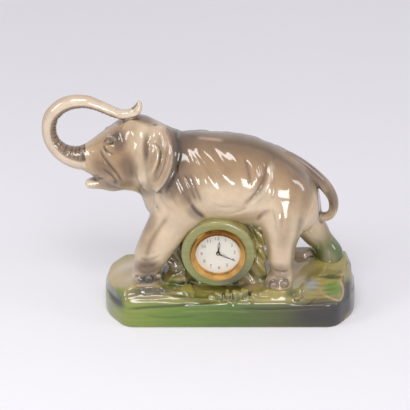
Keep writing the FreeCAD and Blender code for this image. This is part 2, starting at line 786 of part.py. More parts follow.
def make_plates():
    front_holes = plate_holes() + [(z.post_radius, minute_post)]
    front_holes += [(z.dial_foot_radius + z.run_gap, place) for place in dial_feet]
    disc("front_plate", centre, plate_back, z.plate_thick, z.plate_radius, front_holes)
    body = doc.addObject("PartDesign::Body", "back_plate")
    sketch = new_sketch(body, "outline")
    draw_circle(sketch, z.plate_radius)
    for radius, place in plate_holes():
        draw_circle(sketch, radius, place)
    draw_circle(sketch, z.click_screw_radius, click_place)
    draw_circle(sketch, z.stud_radius, stud_place())
    arc_slot(
        sketch, balance, index_pin_circle.value, index_pin_angle.value,
        z.slot_sweep.value, z.index_pin_slot.value,
    )
    pad(body, sketch, z.plate_thick)
    seat(body, centre, rear_plate_back)
    keep("back_plate", body)


index_pin_angle = z.index_angle + half_turn
stud_angle = as_dim(90)
hairspring_pitch = (z.hairspring_outer - z.hairspring_inner) / z.hairspring_turns
index_pin_circle = z.hairspring_outer - hairspring_pitch * (index_pin_angle - stud_angle) / whole_turn


def stud_place():
    return moved(balance, z.hairspring_outer + z.hairspring_thick / 2 + z.stud_radius, stud_angle)


def make_pillars():
    """Four turned pillars, each with a tenon in either plate."""
    back = rear_plate_back + z.tenon_length
    pillars = []
    for number, place in enumerate(pillar_places, start=1):
        profile = [
            (zero, zero),
            (z.tenon_radius, zero),
            (z.tenon_radius, back - rear_plate_front),
            (z.pillar_radius, back - rear_plate_front),
            (z.pillar_radius, back - plate_back),
            (z.tenon_radius, back - plate_back),
            (z.tenon_radius, back - z.plate_depth),
            (zero, back - z.plate_depth),
        ]
        pillars.append(spun(f"pillar_{number}", place, back, profile))
    piece = doc.addObject("Part::Compound", "pillars")
    piece.Links = pillars
    return keep("pillars", piece)


def hex_points(across, turn=0.0):
    reach = across.value / 2 / math.cos(math.pi / 6)
    turns = [math.pi * i / 3 + turn for i in range(6)]
    return [(reach * math.cos(t), reach * math.sin(t)) for t in turns]


def prism(points, low, high):
    """A straight solid on a closed outline of plain points, between two local heights."""
    corners = [V(x, y, low) for x, y in points]
    face = Part.Face(Part.makePolygon(corners + corners[:1]))
    return face.extrude(V(0, 0, high - low))


def make_nuts():
    nuts = []
    for place in plain_nut_places:
        nut = prism(hex_points(z.nut_across), 0, z.nut_height.value)
        nut = nut.cut(Part.makeCylinder(z.tenon_radius.value, z.nut_height.value))
        nut.translate(V(place[0].value, place[1].value, 0))
        nuts.append(nut)
    piece = doc.addObject("Part::Feature", "pillar_nuts")
    piece.Shape = Part.makeCompound(nuts)
    seat(piece, centre, rear_plate_back + z.nut_height)
    keep("pillar_nuts", piece)
    height = (z.case_back - rear_plate_back).value
    posts = []
    for place in cover_post_places:
        post = prism(hex_points(z.nut_across), 0, height)
        post = post.cut(Part.makeCylinder(z.cover_screw_radius.value, z.cover_screw_length.value))
        tenon_room = Part.makeCylinder(
            z.tenon_radius.value, z.tenon_length.value, V(0, 0, height - z.tenon_length.value)
        )
        post = post.cut(tenon_room)
        post.translate(V(place[0].value, place[1].value, 0))
        posts.append(post)
    piece = doc.addObject("Part::Feature", "cover_posts")
    piece.Shape = Part.makeCompound(posts)
    seat(piece, centre, z.case_back)
    keep("cover_posts", piece)


# The going train.
def make_centre():
    back = z.knob_depth - z.press_gap
    inner_back = rear_plate_front - z.end_shake
    inner_front = plate_back + z.end_shake
    arbor = stepped(
        "centre_arbor",
        centre,
        [
            (back, z.centre_rear_radius),
            (inner_back, z.centre_arbor_radius),
            (inner_front, z.centre_tip_radius),
            (z.minute_hand_depth - z.hand_thick, zero),
        ],
    )
    leaves = leaf_points(z.centre_leaves, z.barrel_module, bearing(centre, barrel))
    add_leaves(arbor, back, z.centre_pinion_depth, z.centre_pinion_length, leaves)
    collet = (z.collet_radius, z.centre_arbor_radius)
    collet_piece("centre_collet", centre, z.centre_wheel_depth, collet)
    make_wheel(
        "centre_wheel", centre, z.centre_wheel_depth, z.centre_teeth, z.centre_module, bearing(centre, third)
    )


def collet_piece(label, at, wheel_depth, radii):
    """The brass collet that a wheel is riveted to, with a step that fills the wheel's bore."""
    outer, bore = radii
    behind = (z.collet_length - z.wheel_thick) / 2
    step = z.collet_radius * collet_step_share
    profile = [
        (bore, zero),
        (outer, zero),
        (outer, behind),
        (step, behind),
        (step, behind + z.wheel_thick),
        (bore, behind + z.wheel_thick),
    ]
    return turned(label, at, wheel_depth + behind, profile)


collet_step_share = 0.8


def make_wheel(label, at, depth, teeth, module, towards):
    """A train wheel with five arms."""
    root = pitch_radius(teeth, module) - module * z.root_share
    rim = root - z.wheel_thick
    hub = z.collet_radius + z.wheel_thick
    bore = z.collet_radius * collet_step_share
    points = wheel_points(teeth, module, towards)
    toothed(label, at, depth, z.wheel_thick, points, bore, rim, hub, 5, z.wheel_thick + z.wheel_thick)


def train_arbor(label, at, radius, leaves, module, pinion_depth, towards):
    """An arbor between the plates with its pivots and pinion."""
    inner_back = rear_plate_front - z.end_shake
    inner_front = plate_back + z.end_shake
    arbor = stepped(
        label,
        at,
        [
            (rear_plate_back, z.pivot_radius),
            (inner_back, radius),
            (inner_front, z.pivot_radius),
            (z.plate_depth, zero),
        ],
    )
    if leaves is not None:
        points = leaf_points(leaves, module, towards)
        add_leaves(arbor, rear_plate_back, pinion_depth, z.pinion_length, points)
    return arbor


def make_train():
    train_arbor(
        "third_arbor", third, z.third_arbor_radius, z.third_leaves, z.centre_module,
        z.third_pinion_depth, bearing(third, centre),
    )
    collet_piece("third_collet", third, z.third_wheel_depth, (z.collet_radius, z.third_arbor_radius))
    make_wheel(
        "third_wheel", third, z.third_wheel_depth, z.third_teeth, z.third_module, bearing(third, fourth)
    )
    train_arbor(
        "fourth_arbor", fourth, z.third_arbor_radius, z.fourth_leaves, z.third_module,
        z.fourth_pinion_depth, bearing(fourth, third),
    )
    collet_piece("fourth_collet", fourth, z.fourth_wheel_depth, (z.collet_radius, z.third_arbor_radius))
    make_wheel(
        "fourth_wheel", fourth, z.fourth_wheel_depth, z.fourth_teeth, z.fourth_module, bearing(fourth, escape)
    )
    train_arbor(
        "escape_arbor", escape, z.escape_arbor_radius, z.escape_leaves, z.fourth_module,
        z.escape_pinion_depth, bearing(escape, fourth),
    )


def make_escape_wheel():
    count = int(z.escape_teeth.value)
    tip = z.escape_radius.value
    root = tip - z.escape_tooth.value
    step = 2 * math.pi / count
    points = []
    for i in range(count):
        start = i * step
        for reach, share in zip((root, tip, tip, root), escape_tooth_shares):
            points.append((reach * math.cos(start + share * step), reach * math.sin(start + share * step)))
    hub = z.escape_arbor_radius + z.wheel_thick
    rim = z.escape_radius - z.escape_tooth - z.wheel_thick / 2
    toothed(
        "escape_wheel", escape, z.escape_wheel_depth, z.escape_wheel_thick, points,
        z.escape_arbor_radius, rim, hub, 4, z.wheel_thick,
    )


escape_tooth_shares = (0.0, 0.34, 0.44, 0.62)


def make_lever():
    """The pallet lever with its two steel pins and its fork."""
    back = rear_plate_back
    train_arbor("pallet_arbor", pallet, z.escape_arbor_radius, None, None, None, None)
    half = z.lever_width.value / 2
    thick = z.lever_thick.value
    to_escape = math.radians(bearing(pallet, escape))
    to_balance = math.radians(bearing(pallet, balance))
    hub = Part.makeCylinder(2 * half, thick)
    pieces = [hub]
    pins = []
    for side in (-1, 1):
        angle = math.radians(z.pallet_pin_angle.value) * side
        out_x = z.pallet_distance.value - z.pallet_pin_circle.value * math.cos(angle)
        out_y = z.pallet_pin_circle.value * math.sin(angle)
        x = out_x * math.cos(to_escape) - out_y * math.sin(to_escape)
        y = out_x * math.sin(to_escape) + out_y * math.cos(to_escape)
        pieces.append(bar((0, 0), (x, y), half * pallet_arm_share, thick))
        pieces.append(Part.makeCylinder(half * pallet_arm_share, thick, V(x, y, 0)))
        pins.append(
            Part.makeCylinder(z.pallet_pin_radius.value, z.pallet_pin_length.value, V(x, y, 0))
        )
    reach = z.lever_reach.value
    end = (reach * math.cos(to_balance), reach * math.sin(to_balance))
    pieces.append(bar((0, 0), end, half * pallet_arm_share, thick))
    fork_root = reach * fork_root_share
    fork_half = 2 * half
    fork = prism(
        [
            turned_point(fork_root, -half / 2, to_balance),
            turned_point(reach, -fork_half, to_balance),
            turned_point(reach, fork_half, to_balance),
            turned_point(fork_root, half / 2, to_balance),
        ],
        0,
        thick,
    )
    slot = prism(
        [
            turned_point(reach - fork_half, -half / 2, to_balance),
            turned_point(reach + half, -half / 2, to_balance),
            turned_point(reach + half, half / 2, to_balance),
            turned_point(reach - fork_half, half / 2, to_balance),
        ],
        -thick,
        2 * thick,
    )
    pieces.append(fork)
    lever = pieces[0].multiFuse(pieces[1:]).cut(slot)
    lever = lever.multiFuse(pins).removeSplitter()
    lever = lever.cut(Part.makeCylinder(z.escape_arbor_radius.value, back.value))
    piece = doc.addObject("Part::Feature", "pallet_lever")
    piece.Shape = lever.Solids[0]
    seat(piece, pallet, z.lever_depth)
    keep("pallet_lever", piece)


pallet_arm_share = 0.8
fork_root_share = 0.6


def turned_point(along, across, turn):
    return (
        along * math.cos(turn) - across * math.sin(turn),
        along * math.sin(turn) + across * math.cos(turn),
    )


def bar(start, end, half, thick):
    """A flat bar between two plain points."""
    turn = math.atan2(end[1] - start[1], end[0] - start[0])
    length = math.hypot(end[0] - start[0], end[1] - start[1])
    corners = [(0, -half), (length, -half), (length, half), (0, half)]
    points = []
    for along, across in corners:
        x, y = turned_point(along, across, turn)
        points.append((start[0] + x, start[1] + y))
    return prism(points, 0, thick)


def make_balance():
    inner = z.balance_radius - z.balance_rim
    body = doc.addObject("PartDesign::Body", "balance_wheel")
    rim = new_sketch(body, "rim")
    draw_circle(rim, z.balance_radius)
    draw_circle(rim, z.staff_radius)
    hub = z.staff_radius + z.balance_rim
    draw_windows(rim, hub.value, inner.value, 3, z.balance_arm.value)
    pad(body, rim, z.balance_thick)
    seat(body, balance, z.balance_depth)
    keep("balance_wheel", body)
    cone_back = rear_plate_front - z.end_shake
    cone_front = plate_back + z.end_shake
    grip = z.end_shake + z.end_shake + z.end_shake
    stepped(
        "balance_staff",
        balance,
        [
            (cone_back + grip, z.staff_pivot),
            (cone_back - grip, z.staff_radius),
            (cone_front + grip, z.staff_pivot),
            (cone_front - grip, zero),
        ],
    )
    roller = Part.makeCylinder(z.roller_radius.value, z.roller_thick.value)
    pin_turn = math.radians(bearing(balance, pallet))
    ring = z.impulse_pin_circle.value
    pin_foot = V(ring * math.cos(pin_turn), ring * math.sin(pin_turn), 0)
    pin = Part.makeCylinder(
        z.impulse_pin_radius.value, z.roller_thick.value + z.impulse_pin_length.value, pin_foot
    )
    bore = Part.makeCylinder(z.staff_radius.value, z.roller_thick.value)
    piece = doc.addObject("Part::Feature", "balance_roller")
    piece.Shape = roller.fuse(pin).cut(bore).Solids[0]
    seat(piece, balance, z.roller_depth)
    keep("balance_roller", piece)


def cone_screw(label, back, front, pivot_from_back):
    """A steel screw in a plate, with a cup for the staff's pivot at its inner end."""
    length = back - front
    cup = z.end_shake * 4
    if pivot_from_back:
        profile = [
            (zero, zero),
            (z.cone_radius, zero),
            (z.cone_radius, length),
            (z.staff_pivot + z.run_gap, length),
            (z.staff_pivot + z.run_gap, length - cup),
            (zero, length - cup),
        ]
    else:
        profile = [
            (z.staff_pivot + z.run_gap, zero),
            (z.cone_radius, zero),
            (z.cone_radius, length),
            (zero, length),
            (zero, cup),
            (z.staff_pivot + z.run_gap, cup),
        ]
    return turned(label, balance, back, profile)


def make_cone_screws():
    rear_inner = rear_plate_front - z.end_shake
    front_inner = plate_back + z.end_shake
    cone_screw("rear_balance_screw", rear_inner + z.cone_length, rear_inner, True)
    cone_screw("front_balance_screw", front_inner, front_inner - z.cone_length + z.end_shake, False)


def spiral(inner, outer, turns, thick, height, start_angle):
    """A flat coiled strip: two offset spirals joined into one band."""
    steps = int(turns * spiral_steps)
    growth = (outer - inner) / steps
    edge = []
    far_edge = []
    for i in range(steps + 1):
        turn = start_angle - 2 * math.pi * i / spiral_steps
        reach = inner + growth * i
        edge.append(((reach - thick / 2) * math.cos(turn), (reach - thick / 2) * math.sin(turn)))
        far_edge.append(((reach + thick / 2) * math.cos(turn), (reach + thick / 2) * math.sin(turn)))
    return prism(edge + far_edge[::-1], 0, height)


spiral_steps = 24


def make_springs():
    end_angle = math.radians(stud_angle.value)
    start_angle = end_angle + 2 * math.pi * z.hairspring_turns.value
    piece = doc.addObject("Part::Feature", "hairspring")
    piece.Shape = spiral(
        z.hairspring_inner.value, z.hairspring_outer.value, z.hairspring_turns.value,
        z.hairspring_thick.value, z.hairspring_height.value, start_angle,
    )
    seat(piece, balance, z.hairspring_depth)
    keep("hairspring", piece)
    collet_outer = z.hairspring_inner - z.hairspring_thick / 2
    disc(
        "hairspring_collet", balance, z.hairspring_depth, z.hairspring_height, collet_outer,
        [(z.staff_radius, centre)],
    )
    stepped(
        "hairspring_stud",
        stud_place(),
        [
            (rear_plate_back, z.stud_radius),
            (z.hairspring_depth - z.hairspring_height, zero),
        ],
    )
    room = z.barrel_height - z.barrel_wall * 2 - z.end_shake * 4
    outer = z.barrel_drum - z.barrel_wall - z.spring_thick
    piece = doc.addObject("Part::Feature", "mainspring")
    piece.Shape = spiral(
        z.spring_inner.value, outer.value, z.spring_turns.value, z.spring_thick.value, room.value, 0.0
    )
    seat(piece, barrel, z.barrel_depth + z.barrel_wall + z.end_shake * 2 + room)
    keep("mainspring", piece)


# Barrel, winding work and key.
def make_barrel():
    back = z.barrel_depth + z.barrel_height
    drum_inner = z.barrel_drum - z.barrel_wall
    bore = z.barrel_pivot + z.run_gap
    cover_seat = z.barrel_wall
    profile = [
        (drum_inner, zero),
        (z.barrel_drum, zero),
        (z.barrel_drum, z.barrel_height),
        (bore, z.barrel_height),
        (bore, z.barrel_height - z.barrel_wall),
        (drum_inner, z.barrel_height - z.barrel_wall),
    ]
    drum = turned("barrel", barrel, back, profile)
    sketch = new_sketch(drum, "teeth", height=z.barrel_height - z.barrel_rim)
    draw_outline(sketch, wheel_points(z.barrel_teeth, z.barrel_module, bearing(barrel, centre)))
    draw_circle(sketch, drum_inner)
    pad(drum, sketch, z.barrel_rim)
    disc(
        "barrel_cover", barrel, back, cover_seat, drum_inner - z.press_gap, [(bore, centre)],
    )
    room_back = back - z.barrel_wall - z.end_shake
    room_front = z.barrel_depth + z.barrel_wall + z.end_shake
    arbor = stepped(
        "barrel_arbor",
        barrel,
        [
            (z.key_front + z.key_pipe / 2, z.square_across / 2),
            (z.ratchet_depth, z.barrel_pivot),
            (room_back, z.hub_radius),
            (room_front, z.barrel_pivot),
            (z.plate_depth, zero),
        ],
    )
    return arbor


def make_ratchet():
    count = int(z.ratchet_teeth.value)
    tip = z.ratchet_radius.value
    root = tip - z.ratchet_tooth.value
    points = []
    for i in range(count):
        start = 2 * math.pi * i / count
        end = 2 * math.pi * (i + ratchet_slope_share) / count
        points.append((tip * math.cos(start), tip * math.sin(start)))
        points.append((root * math.cos(end), root * math.sin(end)))
    toothed(
        "ratchet_wheel", barrel, z.ratchet_depth, z.ratchet_thick, points, z.barrel_pivot
    )
    half = z.click_width.value / 2
    away = math.radians(click_rest_angle)
    tail = z.click_length.value
    tip_point = turned_point(tail, 0, away)
    outline = [
        turned_point(0, -half, away),
        tip_point,
        turned_point(0, half, away),
    ]
    click = prism(outline, 0, z.ratchet_thick.value)
    eye = Part.makeCylinder(half, z.ratchet_thick.value)
    bore = Part.makeCylinder(z.click_screw_radius.value + z.run_gap.value, z.ratchet_thick.value)
    piece = doc.addObject("Part::Feature", "click")
    piece.Shape = click.fuse(eye).cut(bore).Solids[0]
    seat(piece, click_place, z.ratchet_depth)
    keep("click", piece)
    head = z.ratchet_depth + z.end_shake + z.wheel_thick
    stepped(
        "click_screw",
        click_place,
        [
            (head, z.click_screw_radius + z.pivot_radius),
            (z.ratchet_depth + z.end_shake, z.click_screw_radius),
            (rear_plate_front, zero),
        ],
    )


ratchet_slope_share = 0.18
click_rest_angle = 202


def make_key():
    """A winged key screwed on the barrel arbor."""
    pipe = Part.makeCylinder(z.key_hub_radius.value, z.key_pipe.value)
    socket = Part.makeCylinder(
        z.square_across.value / 2, z.key_pipe.value / 2, V(0, 0, z.key_pipe.value / 2)
    )
    wing_thick = z.key_wing_thick.value
    blades = []
    holes = []
    for side in (-1, 1):
        middle = V(side * z.key_wing_offset.value, wing_thick / 2, -z.key_wing_rise.value)
        blades.append(Part.makeCylinder(z.key_wing_radius.value, wing_thick, middle, V(0, -1, 0)))
        hole_start = middle + V(0, wing_thick, 0)
        holes.append(
            Part.makeCylinder(z.key_wing_hole.value, 3 * wing_thick, hole_start, V(0, -1, 0))
        )
    bridge = Part.makeBox(
        2 * z.key_wing_offset.value, wing_thick, z.key_wing_rise.value + z.key_hub_radius.value,
        V(-z.key_wing_offset.value, -wing_thick / 2, -z.key_wing_rise.value),
    )
    stem = Part.makeCylinder(z.key_hub_radius.value, z.key_wing_rise.value, V(0, 0, -z.key_wing_rise.value))
    key = pipe.multiFuse(blades + [bridge, stem])
    key = key.cut(socket)
    for hole in holes:
        key = key.cut(hole)
    key = key.cut(
        Part.makeBox(
            4 * z.key_wing_offset.value, 4 * z.key_wing_radius.value, z.key_wing_radius.value,
            V(-2 * z.key_wing_offset.value, -2 * z.key_wing_radius.value, wing_front_clip()),
        ).cut(Part.makeCylinder(z.key_hub_radius.value, 4 * z.key_pipe.value, V(0, 0, -z.key_pipe.value)))
    )
    piece = doc.addObject("Part::Feature", "winding_key")
    piece.Shape = key.removeSplitter().Solids[0]
    seat(piece, barrel, z.key_front + z.key_pipe)
    keep("winding_key", piece)


def wing_front_clip():
    """The wings end here, so that they clear the setting knob."""
    return (z.key_front + z.key_pipe - z.knob_depth - z.cut_over * key_clear_share).value


key_clear_share = 0.6


def make_knob():
    count = int(z.knob_flutes.value)
    radius = z.knob_radius.value
    points = []
    for i in range(count):
        for share, reach in ((0.0, radius), (0.5, radius - z.knob_flute.value)):
            turn = 2 * math.pi * (i + share) / count
            points.append((reach * math.cos(turn), reach * math.sin(turn)))
    body = doc.addObject("PartDesign::Body", "setting_knob")
    rim = new_sketch(body, "rim", height=z.knob_length * knob_rim_low_share)
    draw_outline(rim, points)
    draw_circle(rim, z.centre_rear_radius)
    pad(body, rim, z.knob_length * knob_rim_share)
    hub = new_sketch(body, "hub")
    draw_circle(hub, z.knob_radius * knob_hub_share)
    draw_circle(hub, z.centre_rear_radius)
    pad(body, hub, z.knob_length)
    seat(body, centre, z.knob_depth)
    keep("setting_knob", body)


knob_rim_low_share = 0.1
knob_rim_share = 0.5
knob_hub_share = 0.62


# The regulator.
def make_index():
    thick = z.index_thick.value
    ring = Part.makeCylinder(z.index_ring.value, thick)
    away = math.radians(z.index_angle.value)
    reach = z.index_reach.value
    half = z.index_width.value / 2
    end = turned_point(reach, 0, away)
    arm = bar((0, 0), end, half, thick)
    tab_side = half
    tab = prism(
        [
            turned_point(reach - tab_side, -tab_side, away),
            turned_point(reach + tab_side, -tab_side, away),
            turned_point(reach + tab_side, tab_side, away),
            turned_point(reach - tab_side, tab_side, away),
        ],
        -z.index_tab.value,
        thick,
    )
    tail_reach = index_pin_circle.value + z.index_pin_spread.value
    tail_end = turned_point(-tail_reach - half / 2, 0, away)
    tail = bar((0, 0), tail_end, half, thick)
    pins = []
    for side in (-1, 1):
        circle = index_pin_circle.value + side * z.index_pin_spread.value
        x, y = turned_point(-circle, 0, away)
        pins.append(
            Part.makeCylinder(z.index_pin_radius.value, z.index_pin_length.value + thick, V(x, y, 0))
        )
    shape = ring.multiFuse([arm, tab, tail] + pins)
    shape = shape.cut(
        Part.makeCylinder(z.cone_radius.value + z.run_gap.value, 3 * thick, V(0, 0, -thick))
    )
    piece = doc.addObject("Part::Feature", "regulator")
    piece.Shape = shape.removeSplitter().Solids[0]
    seat(piece, balance, z.index_depth)
    keep("regulator", piece)


# Motion work and hands.
def make_motion_work():
    back = z.cannon_depth
    front = z.minute_hand_depth - z.hand_thick
    profile = [
        (z.centre_tip_radius, zero),
        (z.cannon_radius, zero),
        (z.cannon_radius, back - front),
        (z.centre_tip_radius, back - front),
    ]
    cannon = turned("cannon_pinion", centre, back, profile)
    sketch = new_sketch(cannon, "leaves")
    draw_outline(sketch, leaf_points(z.cannon_leaves, z.motion_module, bearing(centre, minute_post)))
    draw_circle(sketch, z.centre_tip_radius)
    pad(cannon, sketch, z.cannon_leaf_length)
    hour_module = mesh_distance(z.motion_module, z.cannon_leaves, z.minute_wheel_teeth) * 2 / (
        z.minute_pinion_leaves + z.hour_teeth
    )
    wheel_body = toothed(
        "minute_wheel", minute_post, z.minute_wheel_depth, z.wheel_thick,
        wheel_points(z.minute_wheel_teeth, z.motion_module, bearing(minute_post, centre)),
        z.post_radius + z.run_gap,
    )
    pinion = new_sketch(wheel_body, "leaves")
    draw_outline(
        pinion, leaf_points(z.minute_pinion_leaves, hour_module, bearing(minute_post, centre))
    )
    draw_circle(pinion, z.post_radius + z.run_gap)
    pad(wheel_body, pinion, z.wheel_thick + z.minute_pinion_length)
    stepped("minute_wheel_post", minute_post, [(plate_back, z.post_radius), (z.post_front, zero)])
    hour_body = toothed(
        "hour_wheel", centre, z.hour_wheel_depth, z.wheel_thick,
        wheel_points(z.hour_teeth, hour_module, bearing(centre, minute_post)),
        z.cannon_radius + z.run_gap,
    )
    pipe = new_sketch(hour_body, "pipe")
    draw_circle(pipe, z.hour_pipe_radius)
    draw_circle(pipe, z.cannon_radius + z.run_gap)
    pad(hour_body, pipe, z.hour_wheel_depth - z.hour_pipe_front)


# Where a hand's open loop starts, ends and is widest, and how wide its stem is.
hour_hand_shares = {"start": 0.42, "end": 0.86, "widest": 0.55, "stem": 0.42}
minute_hand_shares = {"start": 0.16, "end": 0.60, "widest": 0.50, "stem": 0.60}
# What both hands share: the neck at the eye, the loop's two shoulders, its end and the tip.
hand_form_shares = {
    "neck": 0.8, "low": 0.7, "low_place": 0.35, "high": 0.75, "high_place": 0.5, "end": 0.8, "tip": 0.33,
}


def hand_shape(length, eye, bore, width, shares, clock_turn):
    """A flat open-worked hand turned clockwise from +Y: eye, stem, a pointed loop and a fine tip."""
    form = hand_form_shares
    half = width / 2
    rail = z.hand_rail.value
    start = length * shares["start"]
    end = length * shares["end"]
    widest = start + (end - start) * shares["widest"]
    low = (half * form["low"], start + (widest - start) * form["low_place"])
    high = (half * form["high"], widest + (end - widest) * form["high_place"])
    thick = z.hand_thick.value
    side = [
        (eye * form["neck"], 0.0),
        (half * shares["stem"], start * form["neck"]),
        low,
        (half, widest),
        high,
        (rail * form["end"], end),
        (rail * form["tip"], length),
    ]
    outline = side + [(-x, y) for x, y in side[::-1]]
    window_side = [
        (0.0, start + rail),
        (low[0] - rail, low[1] + rail / 2),
        (half - rail, widest),
        (high[0] - rail, high[1]),
        (0.0, end - rail),
    ]
    window = window_side + [(-x, y) for x, y in window_side[-2:0:-1]]
    turn = -math.radians(clock_turn)
    outline = [turned_point(x, y, turn) for x, y in outline]
    window = [turned_point(x, y, turn) for x, y in window]
    body = prism(outline, 0, thick).cut(prism(window, -thick, 2 * thick))
    body = body.fuse(Part.makeCylinder(eye, thick))
    return body.cut(Part.makeCylinder(bore, 3 * thick, V(0, 0, -thick))).removeSplitter()


def make_hands():
    """The hands stand at the time in the photograph, with the roll of the whole clock."""
    minute_turn = z.minute_reading.value * 6 - z.dial_roll.value
    hour_turn = z.minute_reading.value / 2 - z.dial_roll.value
    hour = hand_shape(
        z.hour_hand_length.value, z.hour_boss_radius.value, z.hour_pipe_radius.value,
        z.hour_hand_width.value, hour_hand_shares, hour_turn,
    )
    piece = doc.addObject("Part::Feature", "hour_hand")
    piece.Shape = hour.Solids[0]
    seat(piece, centre, z.hour_hand_depth)
    keep("hour_hand", piece)
    minute = hand_shape(
        z.minute_hand_length.value, z.minute_boss_radius.value, z.cannon_radius.value,
        z.minute_hand_width.value, minute_hand_shares, minute_turn,
    )
    piece = doc.addObject("Part::Feature", "minute_hand")
    piece.Shape = minute.Solids[0]
    seat(piece, centre, z.minute_hand_depth)
    keep("minute_hand", piece)
    nut_back = z.minute_hand_depth - z.hand_thick
    stepped(
        "hand_nut",
        centre,
        [
            (nut_back, z.nut_radius),
            (nut_back - z.hand_nut_height / 2, z.nut_radius * nut_step_share),
            (nut_back - z.hand_nut_height, zero),
        ],
    )


nut_step_share = 0.6


# The ceramic figure. Elephant tables are shares of elephant_height, from the middle of the rock top.
# Rows across the body: along, up, half width, half height.
body_share = [
    (-0.284, 0.564, 0.160, 0.213),
    (-0.200, 0.558, 0.182, 0.232),
    (-0.089, 0.553, 0.191, 0.232),
    (0.044, 0.542, 0.191, 0.231),
    (0.120, 0.530, 0.189, 0.226),
    (0.180, 0.514, 0.184, 0.218),
    (0.240, 0.494, 0.177, 0.209),
    (0.300, 0.468, 0.164, 0.192),
    (0.350, 0.445, 0.148, 0.178),
    (0.395, 0.418, 0.124, 0.156),
    (0.425, 0.400, 0.080, 0.108),
    (0.440, 0.390, 0.035, 0.048),
]
head_share = [
    (-0.757, 0.672, 0.040, 0.044),
    (-0.710, 0.658, 0.056, 0.066),
    (-0.660, 0.660, 0.078, 0.100),
    (-0.613, 0.668, 0.104, 0.130),
    (-0.555, 0.680, 0.135, 0.160),
    (-0.490, 0.694, 0.146, 0.190),
    (-0.410, 0.687, 0.146, 0.188),
    (-0.335, 0.638, 0.152, 0.194),
    (-0.255, 0.594, 0.160, 0.196),
]
jaw_share = [
    (-0.708, 0.503, 0.016, 0.011),
    (-0.680, 0.506, 0.030, 0.021),
    (-0.640, 0.516, 0.042, 0.027),
    (-0.590, 0.532, 0.054, 0.036),
    (-0.520, 0.556, 0.066, 0.054),
]
# Rows up a leg: along, across, up, half length, half width.
near_front_leg_share = [
    (-0.413, -0.122, -0.030, 0.066, 0.062),
    (-0.412, -0.122, 0.050, 0.064, 0.060),
    (-0.404, -0.120, 0.124, 0.058, 0.056),
    (-0.394, -0.118, 0.187, 0.064, 0.060),
    (-0.366, -0.114, 0.253, 0.075, 0.066),
    (-0.320, -0.108, 0.324, 0.086, 0.072),
    (-0.276, -0.098, 0.400, 0.097, 0.080),
    (-0.240, -0.080, 0.500, 0.104, 0.080),
]
near_hind_leg_share = [
    (0.226, -0.122, -0.060, 0.074, 0.068),
    (0.229, -0.122, 0.022, 0.071, 0.066),
    (0.246, -0.120, 0.075, 0.056, 0.056),
    (0.249, -0.118, 0.147, 0.052, 0.054),
    (0.247, -0.116, 0.204, 0.056, 0.058),
    (0.244, -0.112, 0.267, 0.071, 0.067),
    (0.236, -0.106, 0.324, 0.093, 0.076),
    (0.227, -0.096, 0.386, 0.120, 0.084),
    (0.240, -0.080, 0.475, 0.142, 0.084),
]
far_hind_leg_share = [
    (0.494, 0.118, -0.030, 0.068, 0.064),
    (0.490, 0.118, 0.045, 0.066, 0.062),
    (0.478, 0.117, 0.089, 0.062, 0.058),
    (0.458, 0.115, 0.130, 0.057, 0.057),
    (0.422, 0.112, 0.187, 0.064, 0.062),
    (0.386, 0.108, 0.253, 0.084, 0.071),
    (0.350, 0.100, 0.333, 0.106, 0.080),
    (0.312, 0.080, 0.431, 0.124, 0.084),
]
far_front_leg_share = [
    (-0.222, 0.122, -0.030, 0.068, 0.064),
    (-0.222, 0.122, 0.045, 0.064, 0.062),
    (-0.224, 0.120, 0.098, 0.056, 0.056),
    (-0.230, 0.118, 0.187, 0.060, 0.060),
    (-0.238, 0.114, 0.276, 0.076, 0.068),
    (-0.240, 0.106, 0.364, 0.093, 0.076),
    (-0.222, 0.084, 0.475, 0.104, 0.080),
]
# Rows along the trunk and the tail: along, across, up, radius.
trunk_share = [
    (-0.725, 0.0, 0.664, 0.054),
    (-0.757, 0.0, 0.676, 0.045),
    (-0.797, 0.0, 0.694, 0.036),
    (-0.835, 0.0, 0.722, 0.033),
    (-0.863, 0.0, 0.764, 0.033),
    (-0.876, 0.0, 0.826, 0.035),
    (-0.861, 0.0, 0.886, 0.036),
    (-0.816, 0.0, 0.936, 0.036),
    (-0.763, 0.0, 0.958, 0.034),
    (-0.700, 0.0, 0.960, 0.031),
    (-0.647, 0.0, 0.944, 0.027),
    (-0.594, 0.0, 0.915, 0.025),
    (-0.540, 0.0, 0.893, 0.024),
    (-0.490, 0.0, 0.890, 0.023),
    (-0.455, 0.0, 0.920, 0.020),
    (-0.440, 0.0, 0.962, 0.006),
]
tail_share = [
    (0.300, 0.010, 0.650, 0.022),
    (0.353, 0.014, 0.618, 0.026),
    (0.406, 0.018, 0.555, 0.028),
    (0.455, 0.022, 0.502, 0.028),
    (0.492, 0.030, 0.447, 0.024),
    (0.504, 0.040, 0.382, 0.021),
    (0.496, 0.052, 0.338, 0.020),
    (0.470, 0.062, 0.318, 0.018),
    (0.440, 0.068, 0.334, 0.013),
]
# Rows up an ear: along, across, up, half length, half thickness, turn in degrees.
ear_share = [
    (-0.389, 0.158, 0.564, 0.035, 0.014, 18),
    (-0.384, 0.160, 0.609, 0.068, 0.017, 19),
    (-0.376, 0.158, 0.662, 0.086, 0.018, 18),
    (-0.360, 0.151, 0.720, 0.088, 0.019, 18),
    (-0.349, 0.135, 0.773, 0.081, 0.022, 17),
    (-0.351, 0.102, 0.813, 0.073, 0.025, 14),
    (-0.356, 0.064, 0.844, 0.054, 0.026, 10),
    (-0.356, 0.042, 0.858, 0.027, 0.018, 9),
]
# The far ear lies lower than the near one.
far_ear_drop_share = 0.062
